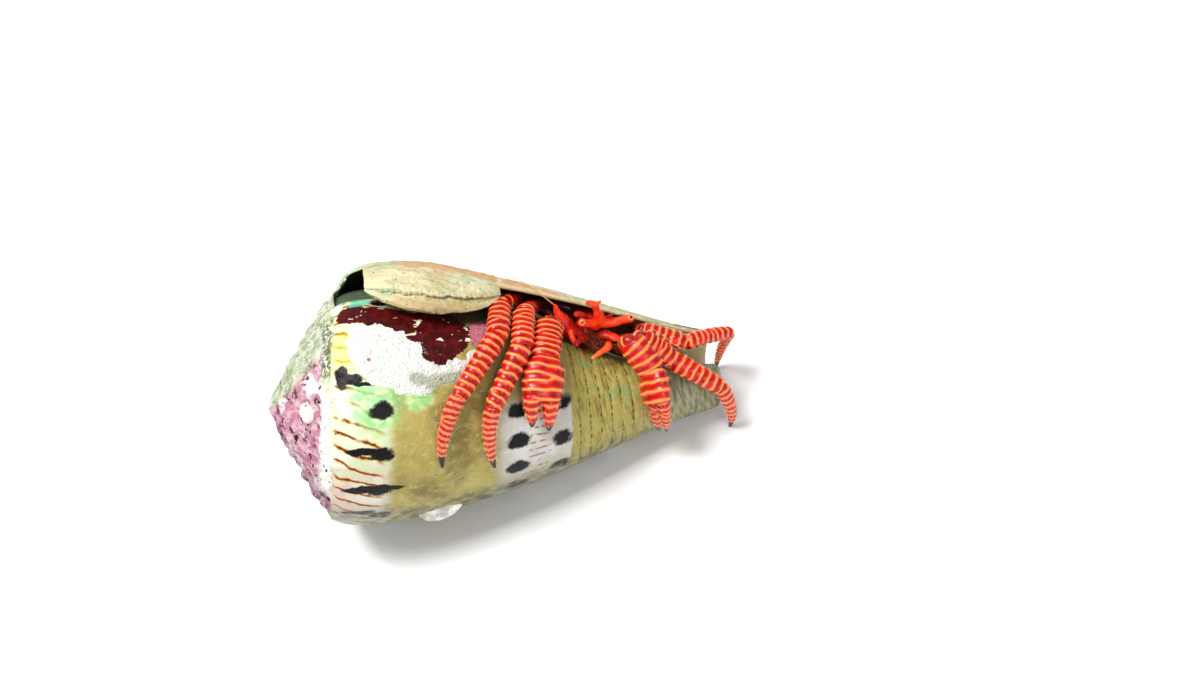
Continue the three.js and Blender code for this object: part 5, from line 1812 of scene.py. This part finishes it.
# %% Set the floor and the lights
FLOOR_SIZE = 6.0
SKY_COLOUR, SKY_STRENGTH = (1.0, 1.0, 1.0, 1.0), 0.42
LAMP_TARGET = Vector((0, 0, 0.015))
bm = bmesh.new()
bmesh.ops.create_grid(bm, x_segments=1, y_segments=1, size=FLOOR_SIZE / 2)
floor = linked("floor", mesh_from("floor", bm))
floor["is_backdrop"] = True
look = Look("pale_floor")
colour = look.mix(look.noise(60, 2).over(0.3, 0.7), (240, 240, 240), (244, 244, 244))
floor.data.materials.append(look.finish(colour, 0.8))

world = bpy.data.worlds.new("studio")
bpy.context.scene.world = world
world.use_nodes = True
world.node_tree.nodes["Background"].inputs["Color"].default_value = SKY_COLOUR
world.node_tree.nodes["Background"].inputs["Strength"].default_value = SKY_STRENGTH


def lamp(name, place, size, watts):
    """A square soft lamp that points at the crab."""
    light = bpy.data.lights.new(name, "AREA")
    light.shape, light.size, light.energy = "SQUARE", size, watts
    lit = linked(name, light)
    lit.location = place
    lit.rotation_euler = (LAMP_TARGET - Vector(place)).to_track_quat("-Z", "Y").to_euler()


lamp("key", (-0.1, -0.02, 0.35), 0.16, 1.75)
lamp("fill", (0.1, -0.34, 0.22), 0.24, 0.6)
print("lamps:", len(bpy.data.lights))

# %% Set the camera
CAMERA_PLACE = Vector((16.10, -153.465, 173.609)) * MM
LOOK_DOWN, CAMERA_ROLL, FIELD_OF_VIEW = math.radians(45), math.radians(15.26), math.radians(45)
sight = Vector((0, math.cos(LOOK_DOWN), -math.sin(LOOK_DOWN)))
level_right, level_up = Vector((1, 0, 0)), Vector((0, math.sin(LOOK_DOWN), math.cos(LOOK_DOWN)))
right = level_right * math.cos(CAMERA_ROLL) - level_up * math.sin(CAMERA_ROLL)
upward = level_right * math.sin(CAMERA_ROLL) + level_up * math.cos(CAMERA_ROLL)
lens = bpy.data.cameras.new("camera")
lens.sensor_width, lens.sensor_fit = 36.0, "HORIZONTAL"
lens.lens = lens.sensor_width / 2 / math.tan(FIELD_OF_VIEW / 2)
lens.clip_start, lens.clip_end = 0.01, 20
camera = linked("camera", lens)
camera.matrix_world = Matrix.Translation(CAMERA_PLACE) @ Matrix((right, upward, -sight)).transposed().to_4x4()
bpy.context.scene.camera = camera
bpy.context.scene.view_settings.view_transform = "Standard"
print("lens mm:", round(lens.lens, 1))

# %% Write the sizes and finish
low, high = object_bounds()
room_low = [round((a - b) / MM, 2) for a, b in zip(low, cad_low)]
room_high = [round((b - a) / MM, 2) for a, b in zip(high, cad_high)]
print("room left, mm:", room_low, room_high)
